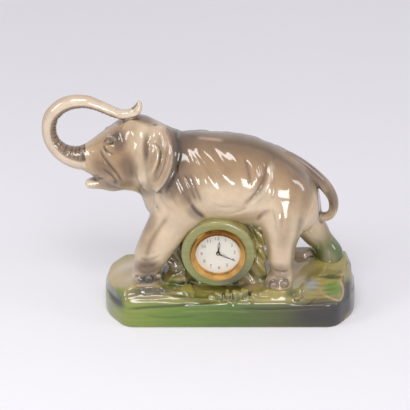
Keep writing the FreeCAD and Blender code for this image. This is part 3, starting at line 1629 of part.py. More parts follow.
# Rows up a shoulder and a haunch: along, across, up, half length, half width.
shoulder_share = [
    (-0.268, 0.088, 0.330, 0.085, 0.070),
    (-0.256, 0.096, 0.420, 0.112, 0.090),
    (-0.242, 0.099, 0.520, 0.122, 0.093),
    (-0.236, 0.094, 0.620, 0.110, 0.085),
    (-0.235, 0.078, 0.700, 0.080, 0.064),
    (-0.235, 0.058, 0.745, 0.045, 0.040),
]
haunch_share = [
    (0.242, 0.082, 0.290, 0.100, 0.066),
    (0.254, 0.094, 0.390, 0.134, 0.088),
    (0.256, 0.095, 0.490, 0.136, 0.089),
    (0.246, 0.082, 0.580, 0.110, 0.072),
    (0.232, 0.058, 0.640, 0.064, 0.044),
]
# Slopes that give the rocks their facets: along and across in halves of the base, up in plinth heights, and
# the slope's outward normal.
facet_shares = [
    (-0.93, -0.72, 1.02, (-0.70, -0.52, 0.49)),
    (-0.97, 0.35, 1.10, (-0.84, 0.12, 0.53)),
    (0.93, -0.70, 1.05, (0.66, -0.52, 0.54)),
    (0.97, 0.30, 1.12, (0.86, 0.05, 0.51)),
    (0.05, -0.97, 1.03, (0.02, -0.70, 0.71)),
    (-0.25, 0.97, 1.08, (0.0, 0.78, 0.62)),
]
# Boulders: middle along and across in halves of the base, then half length, half width, half height and
# middle height in plinth heights, then the turn about upright and the leans to the right and to the back.
boulder_shares = [
    (-0.74, 0.38, 1.25, 1.05, 0.80, 1.08, 12, 6, -5),
    (-0.62, -0.42, 1.15, 0.80, 0.62, 1.02, -10, -3, -7),
    (0.70, 0.42, 1.55, 1.10, 0.75, 1.06, -6, -5, -4),
    (0.22, 0.52, 1.50, 0.85, 0.70, 1.02, 8, 4, -6),
    (-0.26, 0.60, 1.10, 0.75, 0.75, 1.05, -14, 3, -8),
    (0.60, -0.52, 1.00, 0.62, 0.45, 0.92, 15, 5, -9),
    (-0.10, -0.52, 1.45, 0.72, 0.55, 1.12, 4, -3, -10),
    (0.30, -0.44, 0.80, 0.70, 0.55, 0.98, -18, 6, -8),
]


def smooth_ring(middle, along, across):
    """A closed oval on two half axes at right angles."""
    longer, shorter = (along, across) if along.Length > across.Length else (across, along)
    if longer.Length - shorter.Length < round_share * longer.Length:
        return Part.Wire([Part.Circle(middle, along.cross(across), longer.Length).toShape()])
    return Part.Wire([Part.Ellipse(middle + longer, middle + shorter, middle).toShape()])


round_share = 0.001


def lofted(rings):
    return Part.makeLoft(rings, True, False)


def rock_top():
    return z.plinth_height.value + z.rock_rise.value


def share_point(along, across, up):
    """A point of the elephant from its shares."""
    scale = z.elephant_height.value
    return V(along * scale, across * scale, rock_top() + up * scale)


def across_rows(rows, inset=0.0):
    """A loft through upright ovals across the elephant."""
    scale = z.elephant_height.value
    rings = []
    for along, up, half_width, half_height in rows:
        wide = half_width * scale - inset
        tall = half_height * scale - inset
        if min(wide, tall) > z.cut_over.value:
            rings.append(smooth_ring(share_point(along, 0, up), V(0, wide, 0), V(0, 0, tall)))
    return lofted(rings)


def level_rows(rows, inset=0.0):
    """A loft through level ovals up a leg."""
    scale = z.elephant_height.value
    rings = []
    for along, across, up, half_length, half_width in rows:
        long = half_length * scale - inset
        wide = half_width * scale - inset
        rings.append(smooth_ring(share_point(along, across, up), V(long, 0, 0), V(0, wide, 0)))
    return lofted(rings)


def on_side(rows, side):
    """Level rows set out on one side of the elephant."""
    return [(along, across * side, *rest) for along, across, *rest in rows]


def along_rows(rows):
    """A loft through round rings square to the line that they follow."""
    scale = z.elephant_height.value
    points = [share_point(*row[:3]) for row in rows]
    rings = []
    for i, row in enumerate(rows):
        ahead = points[min(i + 1, len(rows) - 1)]
        behind = points[max(i - 1, 0)]
        direction = (ahead - behind).normalize()
        side = V(0, 1, 0) - direction * direction.y
        side.normalize()
        radius = row[3] * scale
        rings.append(smooth_ring(points[i], side * radius, direction.cross(side) * radius))
    return lofted(rings)


def ear(side, drop):
    scale = z.elephant_height.value
    rings = []
    for along, across, up, half_length, half_thick, turn in ear_share:
        angle = math.radians(turn)
        middle = share_point(along, across * side, up - drop)
        long = V(math.cos(angle), math.sin(angle) * side, 0) * (half_length * scale)
        thick = V(-math.sin(angle) * side, math.cos(angle), 0) * (half_thick * scale)
        rings.append(smooth_ring(middle, long, thick))
    return lofted(rings)


def octagon(half_length, half_depth, run, reach, height):
    corners = [
        (-half_length + run, -half_depth),
        (half_length - run, -half_depth),
        (half_length, -half_depth + reach),
        (half_length, half_depth - reach),
        (half_length - run, half_depth),
        (-half_length + run, half_depth),
        (-half_length, half_depth - reach),
        (-half_length, -half_depth + reach),
    ]
    points = [V(x, y, height) for x, y in corners]
    return Part.makePolygon(points + points[:1])


def base_ring(inset, height):
    """The base's outline, drawn in by an inset all round."""
    return octagon(
        z.base_length.value / 2 - inset,
        z.base_depth.value / 2 - inset,
        z.corner_run.value,
        z.corner_reach.value,
        height,
    )


def base_solid():
    """A smooth band with faceted rocks on it."""
    plinth_top = z.plinth_height.value
    half_length = z.base_length.value / 2
    half_depth = z.base_depth.value / 2
    footprint = Part.Face(base_ring(0, 0)).extrude(V(0, 0, z.elephant_height.value))
    rocks = Part.makeLoft([base_ring(0, plinth_top), base_ring(z.rock_setback.value, rock_top())], True, True)
    size = 2 * z.base_length.value
    for along, across, up, normal in facet_shares:
        beyond = Part.makeBox(size, size, size, V(-size / 2, -size / 2, 0))
        place = V(along * half_length, across * half_depth, up * plinth_top)
        beyond.Placement = FreeCAD.Placement(place, FreeCAD.Rotation(V(0, 0, 1), V(*normal)))
        rocks = rocks.cut(beyond)
    boulders = []
    for along, across, long, wide, high, rise, turn, lean_right, lean_back in boulder_shares:
        boulder = Part.makeBox(2 * long, 2 * wide, 2 * high, V(-long, -wide, -high))
        boulder.scale(plinth_top)
        boulder.rotate(V(), V(0, 1, 0), lean_right)
        boulder.rotate(V(), V(1, 0, 0), -lean_back)
        boulder.rotate(V(), V(0, 0, 1), turn)
        boulder.translate(V(along * half_length, across * half_depth, rise * plinth_top))
        boulders.append(boulder)
    plinth = Part.Face(base_ring(0, 0)).extrude(V(0, 0, plinth_top))
    return plinth.multiFuse([rocks] + boulders).common(footprint).removeSplitter()


leg_rows = [near_front_leg_share, near_hind_leg_share, far_hind_leg_share, far_front_leg_share]


def clay_form(name, shape):
    piece = doc.addObject("Part::Feature", name)
    piece.Shape = shape
    return piece


def joined(name, pieces):
    fused = doc.addObject("Part::MultiFuse", name)
    fused.Shapes = pieces
    return fused


def without(name, base, tools):
    """A form less each of the others in turn."""
    for number, tool in enumerate(tools, start=1):
        cut = doc.addObject("Part::Cut", f"{name}_{number}")
        cut.Base = base
        cut.Tool = tool
        base = cut
    return base


def level_box(name, inset, low, high):
    """The fill between the legs, drawn in by an inset at its four sides."""
    web = doc.addObject("Part::Box", name)
    web.setExpression("Length", (z.web_length - inset * 2).text)
    web.setExpression("Width", (z.web_depth - inset * 2).text)
    web.setExpression("Height", (high - low).text)
    web.setExpression(".Placement.Base.x", (-z.web_length / 2 - z.web_shift + inset).text)
    web.setExpression(".Placement.Base.y", (-z.web_depth / 2 + inset).text)
    web.setExpression(".Placement.Base.z", low.text)
    return web


def make_figure():
    """One casting, kept as the forms that it was modelled from, which meet face to face."""
    web_top = z.plinth_height + z.web_height
    rocks = clay_form("rocks", base_solid())
    web = level_box("web", zero, z.plinth_height, web_top)
    stand = joined("stand_form", [rocks, web])
    drum = rounded_drum()
    ears = [clay_form("near_ear", ear(-1, 0)), clay_form("far_ear", ear(1, far_ear_drop_share))]
    muscles = []
    for name, rows in (("shoulder", shoulder_share), ("haunch", haunch_share)):
        for side_name, side in (("near", -1), ("far", 1)):
            muscles.append(clay_form(f"{side_name}_{name}", level_rows(on_side(rows, side))))
    trunk = clay_form("trunk_form", along_rows(trunk_share))
    tail = clay_form("tail_form", along_rows(tail_share))
    torso = [
        clay_form("body_form", across_rows(body_share)),
        clay_form("head_form", across_rows(head_share)),
        clay_form("jaw_form", across_rows(jaw_share)),
    ]
    body = joined("elephant_form", torso + muscles + ears)
    leg_forms = [clay_form(f"leg_{i}", level_rows(rows)) for i, rows in enumerate(leg_rows, start=1)]
    legs = joined("leg_forms", leg_forms)
    hollow = make_hollow(web_top)
    chamber = level_cylinder(
        "chamber", z.chamber_radius, z.boss_wall, z.boss_face + z.boss_back - z.boss_wall + z.cut_over
    )
    bore_radius = z.case_radius + z.press_gap + z.skirt_wall + z.bore_gap
    bore = level_cylinder("clock_bore", bore_radius, -z.cut_over, z.boss_wall + z.cut_over * 2)
    keep("ceramic_drum", without("ceramic_drum", drum, [chamber, bore]))
    keep("ceramic_base", without("ceramic_base", stand, [drum, hollow, foot_recess(), vent_hole()]))
    keep("ceramic_body", without("ceramic_body", body, [stand, drum, hollow]))
    keep("ceramic_legs", without("ceramic_legs", legs, [stand, drum, body, hollow]))
    keep("ceramic_trunk", without("ceramic_trunk", trunk, [body]))
    keep("ceramic_tail", without("ceramic_tail", tail, [body, legs]))


def rounded_drum():
    """The drum under the belly, with its two rims rounded."""
    boss = level_cylinder("boss", z.boss_radius, zero, z.boss_face + z.boss_back)
    doc.recompute()
    rounded = doc.addObject("Part::Fillet", "boss_rounded")
    rounded.Base = boss
    rounded.Edges = [
        (i, z.boss_edge.value, z.boss_edge.value)
        for i, edge in enumerate(boss.Shape.Edges, start=1)
        if isinstance(edge.Curve, Part.Circle)
    ]
    return rounded


def foot_recess():
    """The underside inside the rim that the clock stands on."""
    ring = base_ring(z.foot_rim.value, -z.cut_over.value)
    return clay_form("foot_recess", Part.Face(ring).extrude(V(0, 0, z.cut_over.value + z.foot_recess.value)))


def vent_hole():
    vent = doc.addObject("Part::Cylinder", "vent")
    vent.setExpression("Radius", z.vent_radius.text)
    vent.setExpression("Height", (z.foot_recess + z.clay_wall + z.cut_over * 2).text)
    vent.setExpression(".Placement.Base.z", (-z.cut_over).text)
    vent.setExpression(".Placement.Base.x", (z.base_length / 4).text)
    return vent


def level_cylinder(name, radius, depth, length):
    """A cylinder on the clock's axis that starts at a depth and runs backwards."""
    piece = doc.addObject("Part::Cylinder", name)
    piece.setExpression("Radius", radius.text)
    piece.setExpression("Height", length.text)
    piece.Placement = FreeCAD.Placement(V(), FreeCAD.Rotation(V(1, 0, 0), -90))
    piece.setExpression(".Placement.Base.x", (-z.clock_shift).text)
    piece.setExpression(".Placement.Base.y", (depth - z.boss_face).text)
    piece.setExpression(".Placement.Base.z", z.clock_height.text)
    return piece


def make_hollow(web_top):
    """The space that the poured-out slip leaves: base, fill, legs, body and head in one."""
    wall = z.clay_wall.value
    spaces = [across_rows(body_share, wall), across_rows(head_share[3:], wall)]
    for rows in leg_rows:
        spaces.append(level_rows(rows[2:], wall))
    floor = z.foot_recess.value + wall
    inset = wall + z.rock_setback.value
    spaces.append(Part.makeLoft([base_ring(wall, floor), base_ring(inset, rock_top() - wall)], True, True))
    pieces = [clay_form(f"space_{number}", shape) for number, shape in enumerate(spaces, start=1)]
    web = level_box("web_space", z.clay_wall, z.plinth_height - z.clay_wall, web_top - z.clay_wall)
    return joined("hollow", pieces + [web])


def make_all():
    make_bezel()
    make_glass()
    make_sight_ring()
    make_dial()
    make_case()
    make_back_cover()
    make_cover_screws()
    make_clamp()
    make_clamp_screws()
    make_plates()
    make_pillars()
    make_nuts()
    make_centre()
    make_train()
    make_escape_wheel()
    make_lever()
    make_balance()
    make_cone_screws()
    make_springs()
    make_barrel()
    make_ratchet()
    make_key()
    make_knob()
    make_index()
    make_motion_work()
    make_hands()
    make_figure()
    doc.recompute()


def check_and_write():
    bad = [o.Label for o in doc.Objects if "Invalid" in o.State or "Error" in o.State]
    shapes = {}
    for label, piece in sub_parts.items():
        shape = piece.Shape
        if shape.isNull() or not shape.isValid() or not shape.Solids:
            bad.append(label)
            continue
        shapes[label] = shape.Solids[0] if len(shape.Solids) == 1 else Part.makeCompound(shape.Solids)
    if bad:
        sys.exit(f"these did not build: {sorted(set(bad))}")
    os.makedirs("parts", exist_ok=True)
    for label, shape in shapes.items():
        shape.exportStep(f"parts/{label}.step")
        print(label, len(shape.Solids), round(shape.Volume, 2))


make_all()
check_and_write()
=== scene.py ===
import json
import math

import bmesh
import bpy
import numpy as np
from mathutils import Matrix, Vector

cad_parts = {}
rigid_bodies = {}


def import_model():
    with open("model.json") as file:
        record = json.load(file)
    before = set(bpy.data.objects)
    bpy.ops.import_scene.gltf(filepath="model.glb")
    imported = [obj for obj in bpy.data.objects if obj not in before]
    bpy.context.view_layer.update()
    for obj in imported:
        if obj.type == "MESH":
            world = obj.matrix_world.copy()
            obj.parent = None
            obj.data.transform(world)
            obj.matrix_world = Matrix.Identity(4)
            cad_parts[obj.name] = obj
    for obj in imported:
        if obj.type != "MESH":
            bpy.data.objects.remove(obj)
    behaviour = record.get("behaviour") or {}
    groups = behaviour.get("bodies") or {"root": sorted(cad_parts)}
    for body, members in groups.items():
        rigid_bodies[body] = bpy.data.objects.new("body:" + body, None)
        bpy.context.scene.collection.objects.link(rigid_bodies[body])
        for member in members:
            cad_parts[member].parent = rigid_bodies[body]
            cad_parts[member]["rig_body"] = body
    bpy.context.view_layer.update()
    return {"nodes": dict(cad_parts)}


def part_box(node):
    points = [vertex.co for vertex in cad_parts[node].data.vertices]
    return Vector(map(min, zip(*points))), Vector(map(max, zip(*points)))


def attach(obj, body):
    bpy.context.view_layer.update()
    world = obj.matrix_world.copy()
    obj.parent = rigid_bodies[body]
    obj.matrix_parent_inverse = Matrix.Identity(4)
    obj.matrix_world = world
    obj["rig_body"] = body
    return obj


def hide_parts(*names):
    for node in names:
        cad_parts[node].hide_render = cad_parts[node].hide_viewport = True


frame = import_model()
mm = 0.001
print("frame loaded")


def linked(name, data):
    piece = bpy.data.objects.new(name, data)
    bpy.context.collection.objects.link(piece)
    return piece


def mathNode(nodes, links, operation, *values):
    # each value is a number or another node's output
    node = nodes.new("ShaderNodeMath")
    node.operation = operation
    for socket, value in zip(node.inputs, values):
        if isinstance(value, (int, float)):
            socket.default_value = value
        else:
            links.new(value, socket)
    return node.outputs[0]


# Camera and light
view = {
    "aim": (-27.9, 0.0, 122.6),
    "elevation": 28.0,
    "distance": 4500.0,
    "angle": 5.72,
}


def addCamera():
    tilt = math.radians(view["elevation"])
    aim = Vector(view["aim"]) * mm
    reach = view["distance"] * mm
    data = bpy.data.cameras.new("camera")
    camera = linked("camera", data)
    camera.location = aim + Vector((0, -math.cos(tilt), math.sin(tilt))) * reach
    camera.rotation_euler = (math.radians(90) - tilt, 0, 0)
    data.sensor_fit = "HORIZONTAL"
    data.angle = math.radians(view["angle"])
    data.clip_end = 50
    bpy.context.scene.camera = camera


lampTarget = (-0.03, 0, 0.12)
lamps = {
    # azimuth from the front, elevation, distance, width and height, brightness of the lit panel
    "panelTop": {"azimuth": -8, "elevation": 56, "distance": 1.4, "size": (0.62, 0.44), "bright": 6.5},
    "panelFront": {"azimuth": 16, "elevation": 6, "distance": 1.6, "size": (0.42, 0.42), "bright": 9.0},
    "panelLeft": {"azimuth": -62, "elevation": 30, "distance": 1.5, "size": (0.40, 0.70), "bright": 5.5},
    "panelRight": {"azimuth": 74, "elevation": 22, "distance": 1.5, "size": (0.30, 0.60), "bright": 4.5},
}


def addLamps():
    target = Vector(lampTarget)
    for name, lamp in lamps.items():
        around, above = math.radians(lamp["azimuth"]), math.radians(lamp["elevation"])
        out = Vector((math.sin(around) * math.cos(above), -math.cos(around) * math.cos(above), math.sin(above)))
        data = bpy.data.lights.new(name, "AREA")
        data.shape = "RECTANGLE"
        data.size, data.size_y = lamp["size"]
        data.energy = lamp["bright"] * math.pi * data.size * data.size_y
        piece = linked(name, data)
        piece.location = target + out * lamp["distance"]
        piece.rotation_euler = (-out).to_track_quat("-Z", "Y").to_euler()


stageLook = {
    "floor": (0.785, 0.768, 0.812),
    "sky": (0.98, 0.985, 1.0),
    "skyStrength": 0.46,
    "floorLift": 0.28,
    "floorSize": 9.0,
}


def addWorld():
    world = bpy.data.worlds.new("studio")
    bpy.context.scene.world = world
    world.use_nodes = True
    nodes, links = world.node_tree.nodes, world.node_tree.links
    nodes.clear()
    out = nodes.new("ShaderNodeOutputWorld")
    light = nodes.new("ShaderNodeBackground")
    light.inputs["Color"].default_value = (*stageLook["sky"], 1)
    light.inputs["Strength"].default_value = stageLook["skyStrength"]
    seen = nodes.new("ShaderNodeBackground")
    seen.inputs["Color"].default_value = (*stageLook["floor"], 1)
    seen.inputs["Strength"].default_value = 1.0
    path = nodes.new("ShaderNodeLightPath")
    either = mathNode(nodes, links, "MAXIMUM", path.outputs["Is Camera Ray"], path.outputs["Is Transmission Ray"])
    shown = mathNode(nodes, links, "MAXIMUM", either, path.outputs["Is Glossy Ray"])
    mix = nodes.new("ShaderNodeMixShader")
    links.new(shown, mix.inputs[0])
    links.new(light.outputs[0], mix.inputs[1])
    links.new(seen.outputs[0], mix.inputs[2])
    links.new(mix.outputs[0], out.inputs["Surface"])


def addFloor():
    half = stageLook["floorSize"] / 2
    mesh = bpy.data.meshes.new("floor")
    mesh.from_pydata([(-half, -half, 0), (half, -half, 0), (half, half, 0), (-half, half, 0)], [], [(0, 1, 2, 3)])
    floor = linked("floor", mesh)
    paper = bpy.data.materials.new("backdropPaper")
    paper.use_nodes = True
    shader = paper.node_tree.nodes["Principled BSDF"]
    shader.inputs["Base Color"].default_value = (*stageLook["floor"], 1)
    shader.inputs["Roughness"].default_value = 0.9
    shader.inputs["Specular IOR Level"].default_value = 0.1
    # the camera sees the paper a little brighter than the lamps make it
    nodes, links = paper.node_tree.nodes, paper.node_tree.links
    path = nodes.new("ShaderNodeLightPath")
    lift = mathNode(nodes, links, "MULTIPLY", path.outputs["Is Camera Ray"], stageLook["floorLift"])
    links.new(lift, shader.inputs["Emission Strength"])
    shader.inputs["Emission Color"].default_value = (*stageLook["floor"], 1)
    mesh.materials.append(paper)


addCamera()
addLamps()
addWorld()
addFloor()
bpy.context.scene.view_settings.view_transform = "Standard"
print("camera, lamps and floor")


# Distance fields, in millimetres: negative inside the clay
def newBlock(low, high, step):
    axes = [np.arange(a, b + step, step, dtype=np.float32) for a, b in zip(low, high)]
    return {"axes": axes, "step": step, "d": np.full([len(axis) for axis in axes], 60.0, np.float32)}


def windowOf(block, low, high):
    cuts = []
    for axis, a, b in zip(block["axes"], low, high):
        start = max(int(np.searchsorted(axis, a)) - 1, 0)
        end = min(int(np.searchsorted(axis, b)) + 1, len(axis))
        cuts.append(slice(start, max(end, start + 1)))
    x, y, z = [axis[cut] for axis, cut in zip(block["axes"], cuts)]
    return tuple(cuts), x[:, None, None], y[None, :, None], z[None, None, :]


def softMin(a, b, blend):
    share = np.clip(0.5 + 0.5 * (b - a) / blend, 0, 1)
    return b + (a - b) * share - blend * share * (1 - share)


def softMax(a, b, blend):
    return -softMin(-a, -b, blend)


def join(block, low, high, form, blend):
    reach = blend + 4 * block["step"]
    cuts, x, y, z = windowOf(block, [v - reach for v in low], [v + reach for v in high])
    block["d"][cuts] = softMin(block["d"][cuts], form(x, y, z), blend)


def carve(block, low, high, form, blend):
    reach = blend + 2 * block["step"]
    cuts, x, y, z = windowOf(block, [v - reach for v in low], [v + reach for v in high])
    block["d"][cuts] = softMax(block["d"][cuts], -form(x, y, z), blend)


def press(block, low, high, depth):
    # depth(x, y, z) is how far the surface is pushed in, or out where it is negative
    cuts, x, y, z = windowOf(block, low, high)
    block["d"][cuts] += depth(x, y, z)


def segmentForm(a, b, radiusA, radiusB, flat=(1, 1, 1)):
    start, along = np.array(a, float), np.array(b, float) - np.array(a, float)
    length = float(along @ along)

    def form(x, y, z):
        px, py, pz = x - start[0], y - start[1], z - start[2]
        t = np.clip((px * along[0] + py * along[1] + pz * along[2]) / length, 0, 1)
        gap = np.sqrt(
            ((px - t * along[0]) * flat[0]) ** 2
            + ((py - t * along[1]) * flat[1]) ** 2
            + ((pz - t * along[2]) * flat[2]) ** 2
        )
        return gap - (radiusA + (radiusB - radiusA) * t)

    return form


def joinSegment(block, a, b, radiusA, radiusB, blend, flat=(1, 1, 1)):
    wide = max(radiusA, radiusB) / min(flat)
    low = [min(p, q) - wide for p, q in zip(a, b)]
    high = [max(p, q) + wide for p, q in zip(a, b)]
    join(block, low, high, segmentForm(a, b, radiusA, radiusB, flat), blend)


def ballForm(middle, radii, turn=0.0, tip=0.0):
    # turn is about the upright, tip about the crosswise axis, in degrees
    ct, st = math.cos(math.radians(turn)), math.sin(math.radians(turn))
    cp, sp = math.cos(math.radians(tip)), math.sin(math.radians(tip))

    def form(x, y, z):
        px, py, pz = x - middle[0], y - middle[1], z - middle[2]
        qx, qy = px * ct + py * st, py * ct - px * st
        rx, rz = qx * cp + pz * sp, pz * cp - qx * sp
        near = np.sqrt((rx / radii[0]) ** 2 + (qy / radii[1]) ** 2 + (rz / radii[2]) ** 2)
        steep = np.sqrt((rx / radii[0] ** 2) ** 2 + (qy / radii[1] ** 2) ** 2 + (rz / radii[2] ** 2) ** 2)
        return near * (near - 1) / np.maximum(steep, 1e-4)

    return form


def joinBall(block, middle, radii, blend, turn=0.0, tip=0.0):
    wide = max(radii)
    low = [v - wide for v in middle]
    high = [v + wide for v in middle]
    join(block, low, high, ballForm(middle, radii, turn, tip), blend)


def curveThrough(points, perSpan):
    # a smooth run through given points
    points = np.array(points, float)
    ends = np.vstack([2 * points[0] - points[1], points, 2 * points[-1] - points[-2]])
    out = []
    for i in range(1, len(ends) - 2):
        p0, p1, p2, p3 = ends[i - 1:i + 3]
        for t in np.linspace(0, 1, perSpan, endpoint=False):
            out.append(0.5 * (2 * p1 + (p2 - p0) * t + (2 * p0 - 5 * p1 + 4 * p2 - p3) * t ** 2
                              + (3 * p1 - p0 - 3 * p2 + p3) * t ** 3))
    out.append(points[-1])
    return np.array(out)


def spansOf(path):
    return np.linalg.norm(np.diff(path, axis=0), axis=1)


def nearestOnPath(path, x, y, z):
    # distance to a polyline and how far along it the nearest point lies
    best = None
    where = None
    run = 0.0
    for a, b in zip(path[:-1], path[1:]):
        along = b - a
        length = float(np.linalg.norm(along))
        px, py, pz = x - a[0], y - a[1], z - a[2]
        t = np.clip((px * along[0] + py * along[1] + pz * along[2]) / length ** 2, 0, 1)
        gap = np.sqrt((px - t * along[0]) ** 2 + (py - t * along[1]) ** 2 + (pz - t * along[2]) ** 2)
        if best is None:
            best, where = gap, run + t * length
        else:
            nearer = gap < best
            best = np.where(nearer, gap, best)
            where = np.where(nearer, run + t * length, where)
        run += length
    return best, where


def joinPath(block, points, perSpan, upperBlend, lowerBlend):
    # each point has its radius; the blend changes half way
    fine = curveThrough(points, perSpan)
    for i, (a, b) in enumerate(zip(fine[:-1], fine[1:])):
        joinSegment(block, a[:3], b[:3], a[3], b[3], upperBlend if i / len(fine) < 0.5 else lowerBlend)
    return fine


def crease(block, points, width, depth):
    # a fold line pressed into the surface, or raised where depth is negative
    path = curveThrough(points, 4)
    low = path.min(axis=0) - 3 * width
    high = path.max(axis=0) + 3 * width

    def groove(x, y, z):
        gap, where = nearestOnPath(path, x, y, z)
        total = float(spansOf(path).sum())
        fade = np.clip(np.minimum(where, total - where) / (0.3 * total), 0, 1)
        return depth * np.exp(-(gap / width) ** 2) * (0.15 + 0.85 * fade)

    press(block, low, high, groove)


def smoothed(values, reach):
    # the running mean of a table, with its ends held
    padded = np.concatenate([np.full(reach, values[0]), values, np.full(reach, values[-1])])
    return np.convolve(padded, np.ones(2 * reach + 1) / (2 * reach + 1), "valid")


# Rows along the elephant: place, height of the middle, half width, half height, then how boxy the section is
def rowForm(rows, roundEnd=None):
    rows = sorted(rows)
    places = np.array([row[0] for row in rows], float)
    fine = np.arange(places[0] - 12, places[-1] + 12, 0.5)
    tables = [smoothed(np.interp(fine, places, [row[n] for row in rows]), 8) for n in range(1, 5)]
    if roundEnd is not None:
        begin, end = roundEnd
        share = np.clip((fine - begin) / (end - begin), 0, 0.999)
        closing = np.sqrt(1 - share ** 2)
        tables[1] = tables[1] * closing
        tables[2] = tables[2] * closing

    def form(x, y, z):
        middle, wide, tall, boxy = [np.interp(x.ravel(), fine, table)[:, None, None] for table in tables]
        across = np.abs(y) / wide
        up = np.abs(z - middle) / tall
        near = (across ** boxy + up ** boxy) ** (1 / boxy)
        reach = np.sqrt(y ** 2 + (z - middle) ** 2)
        flat = reach * (1 - 1 / np.maximum(near, 0.05))
        beyond = np.maximum(x - fine[-1] + 12, fine[0] + 12 - x)
        return np.maximum(flat, beyond if roundEnd is None else x - roundEnd[1] + 0.5)

    return form


def gradientOf(block):
    return np.gradient(block["d"], block["step"])


def sampleAt(block, field, points):
    low = np.array([axis[0] for axis in block["axes"]])
    place = (points - low) / block["step"]
    top = np.array(field.shape) - 1.001
    place = np.clip(place, 0, top)
    cell = place.astype(int)
    part = place - cell
    out = 0.0
    for dx in (0, 1):
        for dy in (0, 1):
            for dz in (0, 1):
                weight = (
                    (part[:, 0] if dx else 1 - part[:, 0])
                    * (part[:, 1] if dy else 1 - part[:, 1])
                    * (part[:, 2] if dz else 1 - part[:, 2])
                )
                out = out + weight * field[cell[:, 0] + dx, cell[:, 1] + dy, cell[:, 2] + dz]
    return out


def netOf(block):
    # one vertex in each cell that the surface crosses, one quad across each crossed grid edge
    d = block["d"]
    step = block["step"]
    inside = d < 0
    count = np.zeros([n - 1 for n in d.shape], np.int8)
    corners = [(i, j, k) for i in (0, 1) for j in (0, 1) for k in (0, 1)]
    size = count.shape
    for i, j, k in corners:
        count += inside[i:i + size[0], j:j + size[1], k:k + size[2]]
    mixed = (count > 0) & (count < 8)
    cells = np.argwhere(mixed)
    label = np.full(size, -1, np.int32)
    label[mixed] = np.arange(len(cells))
    total = np.zeros((len(cells), 3))
    crossings = np.zeros(len(cells))
    for a in corners:
        for axis in range(3):
            if a[axis]:
                continue
            b = tuple(v + (n == axis) for n, v in enumerate(a))
            da = d[tuple((cells + a).T)]
            db = d[tuple((cells + b).T)]
            crossed = (da < 0) != (db < 0)
            t = np.where(crossed, da / np.where(crossed, da - db, 1), 0)
            place = np.array(a, float) + t[:, None] * (np.array(b) - np.array(a))
            total += np.where(crossed[:, None], place, 0)
            crossings += crossed
    low = np.array([axis[0] for axis in block["axes"]], float)
    points = (cells + total / crossings[:, None]) * step + low
    faces = []
    for axis in range(3):
        u, v = (axis + 1) % 3, (axis + 2) % 3
        here = [slice(None)] * 3
        there = [slice(None)] * 3
        here[axis] = slice(0, -1)
        there[axis] = slice(1, None)
        change = inside[tuple(here)] != inside[tuple(there)]
        edges = np.argwhere(change)
        keepers = (edges[:, u] > 0) & (edges[:, v] > 0) & (edges[:, u] < size[u]) & (edges[:, v] < size[v])
        edges = edges[keepers]
        leaving = inside[tuple(edges.T)]
        ring = []
        for du, dv in ((-1, -1), (0, -1), (0, 0), (-1, 0)):
            cell = edges.copy()
            cell[:, u] += du
            cell[:, v] += dv
            ring.append(label[tuple(cell.T)])
        quad = np.stack(ring, axis=1)
        quad[~leaving] = quad[~leaving][:, ::-1]
        faces.append(quad)
    slope = gradientOf(block)
    for _ in range(3):
        value = sampleAt(block, d, points)
        normal = np.stack([sampleAt(block, part, points) for part in slope], axis=1)
        steep = np.maximum((normal ** 2).sum(axis=1), 0.05)
        move = np.clip(value / np.sqrt(steep), -0.45 * step, 0.45 * step)
        points = points - normal / np.sqrt(steep)[:, None] * move[:, None]
    normal = np.stack([sampleAt(block, part, points) for part in slope], axis=1)
    normal /= np.maximum(np.linalg.norm(normal, axis=1), 1e-6)[:, None]
    return points, np.concatenate(faces), normal


def meshPiece(name, points, faces, colours=None):
    mesh = bpy.data.meshes.new(name)
    mesh.vertices.add(len(points))
    mesh.vertices.foreach_set("co", (points * mm).astype(np.float32).ravel())
    mesh.loops.add(len(faces) * 4)
    mesh.loops.foreach_set("vertex_index", faces.ravel().astype(np.int32))
    mesh.polygons.add(len(faces))
    mesh.polygons.foreach_set("loop_start", np.arange(0, len(faces) * 4, 4, dtype=np.int32))
    mesh.polygons.foreach_set("use_smooth", np.ones(len(faces), bool))
    mesh.update(calc_edges=True)
    mesh.validate()
    for attribute, values in (colours or {}).items():
        layer = mesh.color_attributes.new(attribute, "FLOAT_COLOR", "POINT")
        full = np.concatenate([values, np.ones((len(values), 1))], axis=1)
        layer.data.foreach_set("color", full.astype(np.float32).ravel())
    return linked(name, mesh)


def smoothStep(low, high, value):
    share = np.clip((value - low) / (high - low), 0, 1)
    return share * share * (3 - 2 * share)


def blob(points, middle, radii):
    # 1 in the middle of an airbrushed patch, 0 outside it
    gap = np.sqrt((((points - np.array(middle)) / np.array(radii)) ** 2).sum(axis=1))
    return 1 - smoothStep(0.45, 1.0, gap)


def linear(red, green, blue):
    # a colour written as it looks on screen, 0 to 255
    out = []
    for value in (red, green, blue):
        value /= 255
        out.append(value / 12.92 if value <= 0.04045 else ((value + 0.055) / 1.055) ** 2.4)
    return np.array(out)


def wash(colours, colour, amount):
    return colours + (np.array(colour) - colours) * np.clip(amount, 0, 1)[:, None]


